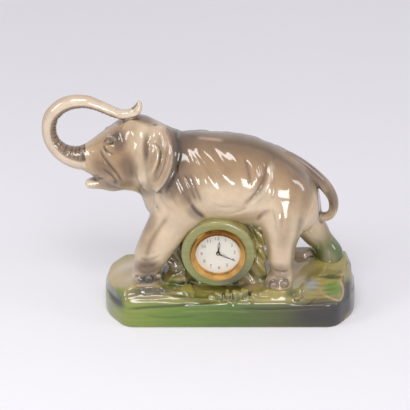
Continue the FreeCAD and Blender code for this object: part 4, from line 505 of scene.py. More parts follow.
# The elephant
elephant = {
    "step": 1.3,
    "quickStep": 2.2,
    "low": (-212, -56, 26),
    "high": (128, 56, 264),
    "farEarDrop": 14.0,
}
bodyRows = [
    (-64, 160.0, 36.0, 48.0, 2.0),
    (-45, 158.5, 41.0, 52.3, 2.0),
    (-20, 157.4, 43.0, 52.2, 2.0),
    (10, 155.0, 43.0, 52.0, 2.0),
    (27, 152.3, 42.5, 50.8, 2.0),
    (40, 148.7, 41.4, 49.0, 2.0),
    (54, 144.2, 39.8, 47.0, 2.0),
    (68, 138.3, 37.0, 43.2, 2.0),
    (79, 133.1, 33.4, 40.0, 2.0),
    (103, 122.0, 27.0, 33.0, 2.0),
]
headRows = [
    (-172, 184.5, 8.5, 9.5, 2.0),
    (-160, 181.0, 12.0, 15.0, 2.0),
    (-148.5, 181.5, 17.0, 22.5, 2.1),
    (-138, 183.3, 22.0, 29.3, 2.2),
    (-125, 186.0, 28.0, 36.2, 2.3),
    (-110, 189.2, 31.5, 42.8, 2.2),
    (-92, 187.6, 32.0, 42.3, 2.1),
    (-75, 176.6, 34.0, 43.7, 2.0),
    (-57, 166.7, 36.0, 44.1, 2.0),
]
trunkPath = [
    (-163, 0, 180.4, 12.4), (-171, 0, 182.4, 11.6), (-179.8, 0, 186.0, 10.2), (-188.3, 0, 192.8, 8.8),
    (-195.2, 0, 203.8, 8.0), (-197.2, 0, 218.7, 7.9), (-193.8, 0, 232.4, 8.0), (-183.5, 0, 243.5, 8.0),
    (-171.6, 0, 248.5, 7.7), (-157.5, 0, 249.1, 7.0), (-145.6, 0, 245.4, 6.2), (-133.6, 0, 239.8, 5.8),
    (-121.5, 0, 234.5, 5.6), (-110.5, 0, 233.8, 5.4), (-103.0, 0, 238.0, 5.2), (-99.6, 0, 244.0, 3.6),
    (-98.9, 0, 249.6, 1.3),
]
trunkHub = (-160.5, 219)
ringPitch = 4.6


def fromHub(x, z):
    # distance from the middle of the trunk's curl
    return np.sqrt((x - trunkHub[0]) ** 2 + (z - trunkHub[1]) ** 2)


def sculptTrunk(block):
    centre = joinPath(block, trunkPath, 4, 1.2, 1.2)[:, :3]
    low = centre.min(axis=0) - 12
    high = centre.max(axis=0) + 12

    def rings(x, y, z):
        gap, where = nearestOnPath(centre[::2], x, y, z)
        spine = fromHub(np.interp(where, runs, centre[:, 0]), np.interp(where, runs, centre[:, 2]))
        inner = smoothStep(0.5, 3.5, spine - fromHub(x, z))
        wave = 0.5 + 0.5 * np.cos(where * 2 * math.pi / ringPitch)
        ends = smoothStep(2, 14, where) * (1 - smoothStep(runs[-1] - 34, runs[-1] - 22, where))
        return 0.75 * wave ** 2 * inner * ends

    runs = np.concatenate([[0], np.cumsum(spansOf(centre))])
    press(block, low, high, rings)
    for side in (-1, 1):
        ridge = []
        for x, _, z, radius in trunkPath[1:14]:
            away = np.array([x - trunkHub[0], z - trunkHub[1]])
            away /= np.linalg.norm(away)
            ridge.append((x - away[0] * radius * 0.45, side * radius * 0.72, z - away[1] * radius * 0.45))
        crease(block, ridge, 1.1, -0.7)


def sculptHead(block):
    join(block, (-176, -36, 138), (-52, 36, 236), rowForm(headRows), 5)
    # mouth: an open lower jaw under the trunk's root
    joinSegment(block, (-153, 0, 149.5), (-128, 0, 155), 6.0, 12.5, 4, (1, 0.75, 1.15))
    joinSegment(block, (-128, 0, 155), (-100, 0, 163), 12.5, 18, 6, (1, 0.8, 1.1))
    joinSegment(block, (-100, 0, 163), (-80, 0, 153), 18, 23, 8)
    # cheeks and brow
    for side in (-1, 1):
        joinBall(block, (-122, side * 19, 176), (17, 11, 16), 8)
        drop = eyeDrop[side]
        joinBall(block, (-127, side * 17.5, 214.0 - drop), (9, 4.5, 3.6), 4, 0, -20)
        joinBall(block, (-132, side * 18.6, 204.0 - drop), (5.5, 3.2, 2.8), 3, 0, 10)


# The far eye and brow sit a little lower, out of the photograph's sight
eyeDrop = {-1: 0.0, 1: 9.0}


def sculptEyes(block):
    eye = seen(block, 110.4, 141.8)
    for side in (-1, 1):
        x, y, z = eye
        z -= eyeDrop[side]
        socket = ballForm((x, -side * (y - 1.3), z), (5.2, 3.2, 2.7))
        carve(block, (x - 7, -side * y - 7, z - 6), (x + 7, -side * y + 7, z + 6), socket, 1.4)
        joinBall(block, (x, -side * (y + 1.5), z - 0.2), (3.1, 3.0, 2.5), 0.5)


earRows = [
    # up, front edge, back edge, how far out the front, middle and back stand
    (160, -95, -80, 33, 37, 38),
    (170, -101, -72, 31, 38, 41),
    (182, -103, -66, 30, 37, 42),
    (195, -100, -62, 28, 35, 40),
    (207, -96, -61, 25, 31, 36),
    (216, -95, -63, 19, 23, 27),
    (223, -92, -68, 12, 14, 16),
    (226, -86, -74, 8, 9, 10),
]
# Waves across the ear: how far out, where between front and back edge, and how wide
earWaves = [(1.6, 0.93, 0.08), (-2.4, 0.66, 0.13), (1.8, 0.38, 0.10), (-1.2, 0.17, 0.07)]


def sculptEars(block):
    table = np.array(earRows, float)
    ups = np.linspace(table[0, 0], table[-1, 0], 60)
    columns = [smoothed(np.interp(ups, table[:, 0], table[:, n]), 3) for n in range(1, 6)]

    def form(x, y, z):
        z = np.where(np.broadcast_to(y, np.broadcast_shapes(y.shape, z.shape)) > 0, z + elephant["farEarDrop"], z)
        zz = np.clip(z, ups[0], ups[-1])
        f, b, of, om, ob = [np.interp(zz, ups, column) for column in columns]
        u = (x - f) / (b - f)
        share = np.clip(u, 0, 1)
        stand = of + (om - of) * np.clip(share * 2, 0, 1) + (ob - om) * np.clip(share * 2 - 1, 0, 1)
        for out, at, wide in earWaves:
            stand = stand + out * np.exp(-((share - at) / wide) ** 2)
        thick = 2.4 + 1.3 * np.exp(-((share - 0.95) / 0.10) ** 2)
        sheet = np.abs(np.abs(y) - stand) * 0.9 - thick
        rim = np.maximum(-u * (b - f), (u - 1) * (b - f))
        ends = np.maximum(ups[0] - z, z - ups[-1])
        return softMax(sheet, np.maximum(rim, ends), 3.0)

    for side in (-1, 1):
        y0, y1 = (-50, -6) if side < 0 else (6, 50)
        join(block, (-108, y0, 142), (-54, y1, 233), form, 1.6)


def sculptBody(block):
    join(block, (-70, -46, 95), (106, 46, 214), rowForm(bodyRows, (78, 98.5)), 6)
    # chest, neck, shoulders and haunches
    joinBall(block, (-77, 0, 136), (19, 26, 26), 8)
    joinSegment(block, (-86, 0, 180), (-50, 0, 163), 34, 38, 8)
    for side in (-1, 1):
        joinBall(block, (-55, side * 22, 142), (28, 21, 44), 8, 0, 14)
        joinBall(block, (58, side * 20, 134), (31, 21, 40), 8, 0, -8)
        joinBall(block, (77, side * 15, 128), (19, 17, 26), 8)


legs = {
    # path down each leg: place, side, height, radius, then the foot
    "nearFront": [(-56, -19, 132, 21), (-66.5, -22, 112, 20.8), (-78, -24.5, 92, 18.6), (-87.5, -26, 74, 15.8),
                  (-91, -27.5, 60, 14.2), (-92.5, -27.5, 50, 14.8), (-93, -27.5, 44, 14.0)],
    "nearHind": [(56, -22, 126, 25), (56, -25, 106, 19.0), (55, -26.5, 88, 14.2), (55.5, -27, 70, 12.2),
                 (56, -27, 52, 12.0), (53, -27.5, 40, 14.5), (52, -27.5, 31, 16.0)],
    "farHind": [(72, 18, 128, 24), (78, 22, 108, 20.0), (86, 25, 88, 15.5), (96, 26, 72, 12.8),
                (104, 26.5, 60, 12.6), (109.5, 26.5, 49, 14.4), (110.5, 26.5, 40, 15.2)],
    "farFront": [(-52, 20, 132, 21), (-53, 24, 106, 17.5), (-52, 26.5, 84, 14.0), (-50.5, 27.5, 66, 12.8),
                 (-50, 27.5, 52, 13.4), (-50, 27.5, 42, 15.0)],
}


def sculptLegs(block):
    for path in legs.values():
        joinPath(block, path, 3, 6, 2.5)


# Toenails: middle of each in the photograph's pixels on the near feet, half width in millimetres
toenails = [
    (138.5, 280.0, 4.6), (149.0, 279.0, 4.8), (158.0, 276.0, 3.8),
    (263.5, 282.5, 4.0), (273.5, 285.5, 4.8), (284.5, 284.0, 4.4),
]
farToenails = {"legs": ("farFront", "farHind"), "half": 4.3, "directions": (95, 135, 175), "up": 2.0}


def sculptToe(block, middle, half, direction):
    # a round nail with a rim and a small boss, facing that way in degrees
    outX, outY = math.cos(math.radians(direction)), math.sin(math.radians(direction))
    joinBall(block, middle, (half, 3.4, half * 0.92), 0.8, direction - 90)

    def rim(px, py, pz):
        dx, dy = px - middle[0], py - middle[1]
        gap = np.sqrt((dx * outY - dy * outX) ** 2 + (pz - middle[2]) ** 2)
        near = np.exp(-((dx * outX + dy * outY) / 5) ** 2)
        ring = 1.1 * np.exp(-((gap - half * 0.98) / 0.9) ** 2) - 0.7 * np.exp(-((gap - half * 0.66) / 0.8) ** 2)
        return (ring + 0.8 * np.exp(-((gap - half * 0.36) / 0.7) ** 2)) * near

    press(block, [v - half - 3 for v in middle], [v + half + 3 for v in middle], rim)


def sculptToes(block):
    for across, down, half in toenails:
        place = seen(block, across, down)
        if place is not None:
            sculptToe(block, (place[0], place[1] + 0.8, place[2] - 0.4), half, 270)
    far = farToenails
    for leg in far["legs"]:
        x, y, z, radius = legs[leg][-1]
        for direction in far["directions"]:
            turn = math.radians(direction)
            reach = radius - 0.6
            middle = (x + reach * math.cos(turn), y + reach * math.sin(turn), z + far["up"])
            sculptToe(block, middle, far["half"], direction)


tailPath = [
    (62, 0, 184, 5), (78, 1, 172, 5.6), (92, 2, 158.5, 6.2), (104, 4, 144, 6.2), (112, 7, 128.5, 5.2),
    (113.5, 10, 114, 4.6), (110, 13.5, 103.5, 4.2), (102.5, 16, 99.5, 4.4), (95.5, 18, 102, 3.6),
]


# Places read off the photograph in its own pixels, and the plane through the elephant's middle that they stand for
picture = {"middle": 230.5, "foot": 328.5, "across": 1.095, "up": 1.240, "footUp": -30.5, "tilt": 0.5317}


def pictured(points):
    # where each point is seen; the far side counts as the near side's mirror image
    x, y, z = points.T
    across = picture["middle"] + x / picture["across"]
    down = picture["foot"] - (z - picture["tilt"] * np.abs(y) - picture["footUp"]) / picture["up"]
    return np.stack([across, down], axis=1)


def seen(block, across, down):
    # the point of the near side that the photograph shows there
    outs = np.linspace(-62, 44, 425)
    up = (picture["foot"] - down) * picture["up"] + picture["footUp"]
    x = (across - picture["middle"]) * picture["across"]
    line = np.stack([np.full(425, x), outs, up - picture["tilt"] * outs], axis=1)
    inside = sampleAt(block, block["d"], line) < 0
    return line[int(np.argmax(inside))] if inside.any() else None


def seenLine(block, pixels):
    places = [seen(block, across, down) for across, down in pixels]
    return [place for place in places if place is not None]


# Lines of the photograph that are both pressed in and painted, in its pixels
photoLines = {
    "shoulderMiddle": [(184, 174), (189, 184), (193, 193), (196, 201)],
    "shoulderRear": [(190, 175), (194, 185), (198, 194), (201, 202)],
    "neck": [(175, 166), (179, 180), (185, 194), (192, 206)],
    "flankRidge": [(271, 163), (269, 180), (261, 195), (249, 207)],
    "flankFold": [(266, 165), (263, 180), (255, 194), (243, 205)],
    "ribs": [(244, 158), (248, 172), (250, 187)],
    "cheek": [(101, 151), (105, 158), (112, 167), (118, 174), (123, 182)],
    "earRim": [(150, 129), (161, 131), (168, 140), (169.5, 153), (167, 166), (161, 179), (154, 189)],
    "earFold": [(155, 144), (163, 151), (162, 165), (155, 181)],
    "earInner": [(145, 151), (150, 160), (147, 172), (149, 185)],
    "bandLeft": [(128, 309), (150, 307.5), (176, 306), (196, 304), (217, 303)],
    "bandRight": [(240, 308), (266, 309.5), (289, 309), (312, 308), (330, 308)],
    "ledge": [(127, 289), (138, 285.5), (148, 284.5), (158, 284.5)],
    "ledgeFoot": [(131, 293), (148, 294), (166, 292), (182, 290)],
    "slab": [(322, 294), (333, 299), (341, 300), (344, 290), (341, 281)],
}
folds = {
    # name of the region: lower by on the far side, then width, depth (raised where negative) and pixels
    "shoulder": (0, [
        (1.7, 1.6, [(181, 179), (184, 187), (188, 195), (191, 202)]),
        (1.7, 1.5, photoLines["shoulderMiddle"]),
        (1.6, 1.3, photoLines["shoulderRear"]),
        (2.0, -1.3, [(197, 162), (201, 172), (204, 182), (206, 191)]),
        (4.6, -1.9, [(195, 141), (206, 153), (217, 167), (226, 181)]),
        (3.6, 1.9, [(194, 150), (203, 161), (213, 175), (221, 190)]),
        (3.6, -1.4, [(195, 158), (203, 169), (212, 182)]),
        (3.0, 1.6, [(206, 142), (218, 155), (229, 170), (236, 184)]),
        (2.8, 1.5, [(186, 148), (193, 160), (199, 175), (202, 188)]),
        (3.2, -1.0, [(222, 143), (233, 157), (241, 172)]),
        (2.2, 1.5, photoLines["neck"]),
        (2.0, 1.3, [(169, 186), (173, 198), (180, 209)]),
        (2.2, 1.4, [(160, 192), (163, 203), (170, 214)]),
        (2.0, 1.2, [(150, 194), (155, 204), (161, 213)]),
        (1.6, 1.2, [(139, 188), (142, 193), (146, 199)]),
        (2.2, -1.0, [(165, 192), (169, 203), (176, 213)]),
        (2.0, 1.4, [(192, 203), (196, 211), (203, 217)]),
    ]),
    "flank": (0, [
        (6.5, 2.2, [(263, 147), (266, 166), (262, 188), (250, 210)]),
        (2.4, -1.7, photoLines["flankRidge"]),
        (2.0, 1.3, photoLines["flankFold"]),
        (1.8, 1.2, photoLines["ribs"]),
        (2.4, -1.4, [(250, 163), (255, 175), (259, 187)]),
        (1.8, 1.1, [(256, 157), (261, 169), (263, 180)]),
        (2.2, 1.3, [(275, 148), (272, 166), (274, 186), (270, 204)]),
        (1.8, 1.1, [(255, 222), (262, 214), (271, 209)]),
        (1.6, 1.0, [(272, 208), (275, 221), (276, 235)]),
        (1.6, 0.8, [(280, 210), (281, 222), (280, 234)]),
        (2.2, 1.1, [(314, 194), (309, 209), (301, 228)]),
        (1.8, 1.0, [(226, 215), (238, 212), (250, 205)]),
        (2.0, -0.9, [(232, 207), (243, 204), (253, 197)]),
        (2.0, 1.0, [(214, 205), (224, 208), (236, 206)]),
        (5.0, -1.2, [(281, 160), (288, 175), (290, 192)]),
    ]),
    "legs": (0, [
        (1.5, 1.0, [(137, 263), (148, 267), (161, 262)]),
        (1.5, 1.0, [(137, 256), (148, 260), (162, 255)]),
        (1.4, 0.5, [(139, 250), (150, 253), (163, 248)]),
        (1.3, -0.6, [(137, 260), (148, 263.5), (160, 258.5)]),
        (1.3, 0.9, [(136, 270), (147, 273), (160, 269)]),
        (1.5, 1.0, [(271, 267), (281, 272), (292, 268)]),
        (1.5, 0.9, [(271, 274), (281, 278), (291, 275)]),
        (1.3, 0.8, [(270, 278.5), (280, 280.5), (290, 278)]),
        (2.2, -0.9, [(276, 214), (279, 232), (281, 252)]),
    ]),
    "face": (4, [
        (1.6, 1.7, photoLines["cheek"]),
        (1.7, -1.1, [(105, 152), (109, 159), (116, 168), (122, 175), (127, 183)]),
        (1.5, 1.4, [(104, 169), (112, 175), (117, 181), (115, 186)]),
        (1.3, 1.2, [(105, 146), (108, 152), (114, 155)]),
        (1.2, -0.8, [(103, 149), (107, 156), (113, 159)]),
        (1.2, 1.0, [(104, 142.5), (110, 139.3), (117, 144)]),
        (1.4, -1.1, [(103, 139.5), (110, 136.5), (118, 140)]),
        (4.5, 1.7, [(121, 131), (122, 142), (127, 152)]),
        (3.5, -1.3, [(129, 127), (134, 136), (134, 147)]),
        (2.2, 1.5, [(138, 148), (136, 159), (138, 170)]),
        (1.8, 1.0, [(126, 158), (131, 168), (134, 179)]),
        (1.3, 1.5, [(91, 176), (97, 178.7), (105, 178.7)]),
        (1.6, -0.9, [(57, 146), (66, 156), (76, 164)]),
        (1.4, 0.8, [(88, 150), (96, 160), (104, 164)]),
    ]),
    "ear": (14, [
        (2.0, 1.6, [(149, 141), (154, 138), (160, 135)]),
        (2.3, -2.0, [(149, 145), (157, 148), (158, 160), (152, 175)]),
        (2.2, 1.8, photoLines["earFold"]),
        (2.0, 1.5, photoLines["earInner"]),
        (2.0, -1.8, photoLines["earRim"]),
        (1.8, 1.5, [(151, 134), (159, 136), (164, 144), (165, 155), (163, 168), (157, 181)]),
        (2.6, 2.4, [(174, 133), (178, 146), (177.5, 161), (173, 177), (165, 191)]),
    ]),
    "back": (0, [
        (2.4, 1.0, [(181, 135), (201, 141), (221, 144), (246, 147), (269, 155), (291, 168), (305, 181)]),
    ]),
}


def sculptFolds(block):
    for drop, lines in folds.values():
        for width, depth, pixels in lines:
            places = seenLine(block, pixels)
            if len(places) < 2:
                continue
            crease(block, places, width, depth)
            crease(block, [(x, -y, z - drop) for x, y, z in places], width, depth)
    for number in range(6):
        # rings across the root of the trunk
        x = -177 + 4.6 * number
        side, top = 187 + 1.0 * number, 198 - 1.2 * number
        crease(block, [(x, -12, side), (x - 2.0, 0, top), (x, 12, side)], 1.3, 0.9)


def elephantField():
    block = newBlock(elephant["low"], elephant["high"], elephant["step"])
    sculptBody(block)
    sculptLegs(block)
    joinPath(block, tailPath, 4, 2.0, 2.0)
    sculptHead(block)
    sculptTrunk(block)
    sculptEars(block)
    mouth = segmentForm((-168, 0, 163.5), (-140, 0, 160.5), 6.5, 2.5, (1, 0.55, 1.2))
    carve(block, (-170, -9, 150), (-134, 9, 164), mouth, 1.6)
    sculptEyes(block)
    sculptFolds(block)
    sculptToes(block)
    return block


glazeColours = {
    "cream": linear(222, 198, 166),
    "tan": linear(166, 132, 94),
    "umber": linear(104, 76, 52),
    "brown": linear(72, 52, 38),
    "dark": linear(38, 28, 22),
    "mauve": linear(136, 116, 104),
    "golden": linear(140, 102, 56),
    "pale": linear(236, 220, 196),
    "pink": linear(196, 162, 138),
    "green": linear(74, 96, 30),
    "moss": linear(72, 74, 34),
}
# Airbrushed patches, and the painted shade behind the ear: colour, amount, middle, half width and half height in the
# photograph's pixels, tilt in degrees
patches = [
    ("tan", 0.70, (210, 160), (46, 30), 20), ("tan", 0.60, (256, 170), (44, 24), 24),
    ("tan", 0.65, (186, 190), (24, 28), 0), ("umber", 0.50, (184, 176), (13, 28), 0),
    # the dark patch at (181, 146) is painted shade behind the ear
    ("dark", 0.95, (181, 146), (9, 24), 0), ("umber", 0.85, (192, 142), (22, 12), 0),
    ("umber", 0.45, (236, 154), (36, 10), 16), ("brown", 0.55, (172, 190), (9, 13), 30),
    ("brown", 0.35, (186, 196), (8, 12), -20), ("cream", 0.60, (214, 198), (20, 13), 30),
    ("cream", 0.70, (222, 207), (32, 9), 0), ("mauve", 0.55, (305, 178), (20, 18), 40),
    ("tan", 0.45, (296, 200), (22, 20), 0), ("umber", 0.45, (263, 176), (6, 26), 10),
    ("umber", 0.35, (306, 196), (7, 20), 10), ("tan", 0.90, (112, 160), (34, 38), 0),
    ("tan", 0.55, (126, 128), (24, 14), -25), ("umber", 0.85, (120, 142), (9, 15), 0),
    ("brown", 0.60, (117, 138), (7, 6), 0), ("umber", 0.85, (142, 118), (20, 7), 25),
    ("dark", 0.75, (130, 115), (13, 3), 25), ("umber", 0.55, (104, 168), (14, 9), 30),
    ("umber", 0.75, (129, 168), (10, 18), -10), ("umber", 0.55, (122, 184), (24, 6), 0),
    ("umber", 0.60, (145, 190), (11, 9), 0), ("tan", 0.90, (158, 158), (17, 36), 0),
    ("golden", 0.85, (161, 150), (5, 24), 5), ("umber", 0.85, (147, 150), (4.5, 18), 0),
    ("pink", 0.55, (166, 140), (5, 12), -25), ("brown", 0.75, (95, 177), (7, 3), 0),
    ("pale", 0.85, (88, 184), (9, 7), 0), ("tan", 0.50, (148, 238), (12, 22), 20),
    ("umber", 0.45, (150, 222), (8, 14), 20), ("umber", 0.85, (147, 268), (17, 11), 0),
    ("dark", 0.95, (148, 279.5), (16, 6.5), -4), ("umber", 0.55, (277, 272), (16, 10), 0),
    ("umber", 0.80, (277, 284), (17, 6), 0), ("tan", 0.60, (266, 246), (6, 26), -10),
    ("umber", 0.50, (196, 214), (13, 7), 30), ("tan", 0.55, (246, 217), (28, 6), -10),
    ("tan", 0.45, (284, 226), (8, 30), 5),
]
# Brushed lines, with painted shade and highlights: colour, amount, half width, then pixels
strokes = [
    # painted sheen: the lighter mauve band along the top of the back, where it faces up to the light
    ("mauve", 0.90, 4.5, [(172, 129), (204, 132), (226, 133), (254, 138), (279, 147), (300, 161), (322, 181)]),
    ("dark", 0.80, 3.6, [(180, 136), (202, 140), (222, 142), (247, 145), (270, 153), (292, 167), (307, 181)]),
    ("umber", 0.85, 9.0, [(182, 142), (206, 147), (236, 149), (264, 158), (288, 172), (306, 190)]),
    ("tan", 0.70, 17.0, [(186, 152), (216, 158), (250, 164), (284, 182), (304, 204)]),
    # painted highlight line along the top of the back
    ("pink", 0.80, 1.6, [(198, 138.5), (210, 139.5), (222, 141)]),
    ("umber", 0.75, 6.0, [(304, 163), (322, 181), (334, 196), (335, 209), (331, 218)]),
    ("brown", 0.65, 3.0, [(327, 191), (331, 200), (331, 210)]),
    ("umber", 0.75, 5.0, [(170, 130), (176, 145), (176, 162), (172, 178), (163, 192)]),
    # painted shade in the deep groove behind the ear
    ("dark", 0.85, 2.4, [(176, 134), (179, 146), (178, 162), (174, 178), (166, 192)]),
    # painted shade in a shoulder fold
    ("dark", 0.80, 1.8, [(191, 204), (197, 212), (204, 217)]),
    ("pink", 0.80, 1.7, photoLines["earRim"]),
    # painted shade: these dark and brown lines lie in the face's and ear's pressed folds
    ("dark", 0.75, 1.1, photoLines["cheek"]),
    ("brown", 0.75, 1.1, [(104, 169), (112, 175), (117, 181)]),
    ("dark", 0.90, 0.9, [(104.5, 142.5), (110, 139.6), (116.5, 144)]),
    ("brown", 0.75, 1.0, [(105, 146.5), (108, 152), (114, 155)]),
    ("dark", 0.85, 1.0, [(90, 176), (97, 178.7), (105, 178.7)]),
    ("brown", 0.65, 1.4, photoLines["earFold"]),
    ("brown", 0.55, 1.2, photoLines["earInner"]),
    # painted highlight on the raised fold of the ear
    ("pale", 0.60, 1.4, [(150, 145), (157, 148), (158, 160), (152, 175)]),
    # painted shade in the flank fold
    ("umber", 0.60, 2.0, photoLines["flankFold"]),
    # painted highlight on the raised flank ridge
    ("pale", 0.55, 2.0, photoLines["flankRidge"]),
    # painted shade in the rib, shoulder and neck folds
    ("umber", 0.50, 1.6, photoLines["ribs"]),
    ("brown", 0.45, 1.6, photoLines["shoulderMiddle"]),
    ("brown", 0.40, 1.6, photoLines["shoulderRear"]),
    ("umber", 0.45, 2.2, photoLines["neck"]),
    ("umber", 0.55, 2.6, [(301, 214), (298, 232), (293, 252), (292, 272)]),
    ("umber", 0.50, 2.4, [(168, 216), (152, 240), (146, 258)]),
]


def inPatch(places, middle, half, tilt):
    c, s = math.cos(math.radians(tilt)), math.sin(math.radians(tilt))
    dx, dy = places[:, 0] - middle[0], places[:, 1] - middle[1]
    gap = np.sqrt(((dx * c + dy * s) / half[0]) ** 2 + ((dy * c - dx * s) / half[1]) ** 2)
    return 1 - smoothStep(0.35, 1.15, gap)


def onStroke(places, half, pixels):
    path = curveThrough([(a, b, 0) for a, b in pixels], 4)
    gap, where = nearestOnPath(path, places[:, 0], places[:, 1], np.zeros(len(places)))
    total = float(spansOf(path).sum())
    ends = smoothStep(0, 0.12, where / total) * (1 - smoothStep(0.88, 1.0, where / total))
    return np.exp(-(gap / half) ** 2) * (0.35 + 0.65 * ends)


def paintElephant(block, points, normal):
    x, y, z = points.T
    c = glazeColours
    places = pictured(points)
    colours = np.tile(c["cream"], (len(points), 1))
    trunk = nearestOnPath(np.array(trunkPath, float)[:, :3], x, y, z)
    onTrunk = (x < -158) | ((z > 232) & (trunk[0] < 8.5))
    upward = smoothStep(-0.1, 0.7, normal[:, 2])
    colours = wash(colours, c["tan"], (x > -70) * upward * smoothStep(140, 195, z) * 0.75)
    colours = wash(colours, c["umber"], (x > -70) * upward * smoothStep(180, 206, z) * 0.6)
    for colour, amount, middle, half, tilt in patches:
        colours = wash(colours, c[colour], inPatch(places, middle, half, tilt) * amount * ~onTrunk)
    for colour, amount, half, pixels in strokes:
        colours = wash(colours, c[colour], onStroke(places, half, pixels) * amount * ~onTrunk)
    # trunk: a pale outer band, a bright line, then a ringed brown inner band
    path = np.array(trunkPath, float)
    runs = np.concatenate([[0], np.cumsum(spansOf(path[:, :3]))])
    inward = np.interp(trunk[1], runs, fromHub(path[:, 0], path[:, 2])) - fromHub(x, z)
    ring = 0.5 + 0.5 * np.cos(trunk[1] * 2 * math.pi / ringPitch)
    colours = wash(colours, c["pink"], onTrunk * 0.55)
    colours = wash(colours, c["pale"], onTrunk * np.exp(-((inward + 3.0) / 3.2) ** 2) * 0.65)
    colours = wash(colours, c["umber"], onTrunk * smoothStep(-0.2, 3.2, inward) * 0.72)
    colours = wash(colours, c["brown"], onTrunk * smoothStep(2.0, 5.5, inward) * ring ** 2 * 0.8)
    colours = wash(colours, c["pale"], onTrunk * np.exp(-((inward - 0.2) / 0.9) ** 2) * 0.7)
    # far hind leg and the feet take the base's green
    colours = wash(colours, c["tan"], smoothStep(6, 20, y) * (z < 130) * 0.7)
    colours = wash(colours, c["green"], smoothStep(4, 16, y) * (1 - smoothStep(58, 92, z)) * 0.95)
    colours = wash(colours, c["moss"], (1 - smoothStep(34, 50, z)) * 0.35)
    # painted shade pools dark in the folds and hollows, and a painted highlight lies pale on the ridges
    fine = 2.6 - sampleAt(block, block["d"], points + normal * 2.6)
    broad = 6.0 - sampleAt(block, block["d"], points + normal * 6.0)
    colours = wash(colours, c["brown"], smoothStep(0.2, 1.1, fine) * 0.80)
    colours = wash(colours, c["umber"], smoothStep(1.0, 4.0, broad) * 0.65)
    raised = sampleAt(block, block["d"], points - normal * 2.6) + 2.6
    colours = wash(colours, c["pale"], smoothStep(0.3, 1.5, raised) * 0.30)
    return colours


def setInputs(node, values):
    for socket, value in values.items():
        node.inputs[socket].default_value = value


def newMaterial(name):
    material = bpy.data.materials.new(name)
    material.use_nodes = True
    nodes, links = material.node_tree.nodes, material.node_tree.links
    return material, nodes, links, nodes["Principled BSDF"], nodes.new("ShaderNodeTexCoord")


def noiseOf(nodes, links, vector, scale, detail, stretch=None, rough=0.5):
    noise = nodes.new("ShaderNodeTexNoise")
    setInputs(noise, {"Scale": scale, "Detail": detail, "Roughness": rough})
    if stretch:
        mapping = nodes.new("ShaderNodeMapping")
        mapping.inputs["Scale"].default_value = stretch
        links.new(vector, mapping.inputs["Vector"])
        vector = mapping.outputs["Vector"]
    links.new(vector, noise.inputs["Vector"])
    return noise.outputs["Fac"]


def ranged(nodes, links, value, low, high, start, end):
    reach = nodes.new("ShaderNodeMapRange")
    setInputs(reach, {"From Min": low, "From Max": high, "To Min": start, "To Max": end})
    links.new(value, reach.inputs["Value"])
    return reach.outputs["Result"]


def mixed(nodes, links, share, first, second):
    mix = nodes.new("ShaderNodeMix")
    mix.data_type = "RGBA"
    links.new(share, mix.inputs["Factor"])
    for socket, colour in ((mix.inputs["A"], first), (mix.inputs["B"], second)):
        if isinstance(colour, (tuple, list)):
            socket.default_value = (*linear(*colour), 1)
        else:
            links.new(colour, socket)
    return mix.outputs["Result"]


def bumped(nodes, links, shader, height, strength, distance):
    bump = nodes.new("ShaderNodeBump")
    setInputs(bump, {"Strength": strength, "Distance": distance})
    links.new(height, bump.inputs["Height"])
    links.new(bump.outputs["Normal"], shader.inputs["Normal"])
    return bump


def glaze(name, attribute, depth=0.00006, brushed=None):
    # where it is brushed, the clouds are drawn out into streaks
    material, nodes, links, shader, where = newMaterial(name)
    place = where.outputs["Object"]
    paint = nodes.new("ShaderNodeAttribute")
    paint.attribute_name = attribute
    cloud = noiseOf(nodes, links, place, 1.0 if brushed else 38, 5, brushed, 0.6)
    tint = nodes.new("ShaderNodeVectorMath")
    tint.operation = "SCALE"
    links.new(paint.outputs["Color"], tint.inputs[0])
    links.new(ranged(nodes, links, cloud, 0.3, 0.7, 0.82, 1.10), tint.inputs["Scale"])
    links.new(tint.outputs["Vector"], shader.inputs["Base Color"])
    setInputs(shader, {"Roughness": 0.16, "Coat Weight": 1.0, "Coat Roughness": 0.025, "Coat IOR": 1.55})
    bump = bumped(nodes, links, shader, noiseOf(nodes, links, place, 45, 2), 0.5, depth)
    links.new(bump.outputs["Normal"], shader.inputs["Coat Normal"])
    return material


block = elephantField()
points, faces, normal = netOf(block)
elephantPiece = meshPiece("elephant", points, faces, {"glazeAndPaintedLight": paintElephant(block, points, normal)})
elephantPiece.data.materials.append(glaze("elephantGlaze", "glazeAndPaintedLight"))
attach(elephantPiece, "housing")
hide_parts("ceramic_body", "ceramic_legs", "ceramic_trunk", "ceramic_tail")
print("elephant", len(points), "points", len(faces) * 2, "triangles")


# The rocky base, the clock's drum and the fill between the legs
rockyBase = {
    "step": 1.25,
    "quickStep": 2.2,
    "halfLength": 138.0,
    "halfDepth": 57.5,
    "cornerRun": 22.0,
    "cornerReach": 34.0,
    "bandTop": 27.5,
    "clock": (-13.6, 83.6),
    "drumRadius": 40.5,
    "chamberRadius": 34,
    "boreRadius": 27.65,
}
# The plateau that the feet stand on: along the base, where its front edge lies, its height there and how it rises back
plateau = [
    (-140, -30, 36, -0.02), (-120, -40, 41, -0.07), (-104, -45, 43.5, -0.10), (-80, -45, 43.5, -0.10),
    (-66, -42, 41, -0.06), (-50, -39, 37, 0.0), (-30, -37, 34, 0.05), (0, -38, 34, 0.06), (26, -42, 36, 0.04),
    (38, -47, 39.5, 0.0), (66, -47, 40, 0.0), (78, -40, 39.5, 0.04), (92, -20, 39, 0.1),
    (104, -7, 40.5, 0.1), (124, -6, 40.5, 0.08), (140, -16, 36, 0.05),
]
# The slope in front of it: along the base, then its height at the front edge and its rise to the back
frontSlope = [
    (-140, 26, 0.45), (-112, 27, 0.95), (-85, 28, 1.00), (-60, 28, 0.62), (-28, 29, 0.26), (0, 29, 0.30),
    (30, 28, 0.60), (60, 27.5, 0.75), (84, 27, 0.40), (100, 27, 0.30), (122, 27, 0.34), (140, 25, 0.30),
]
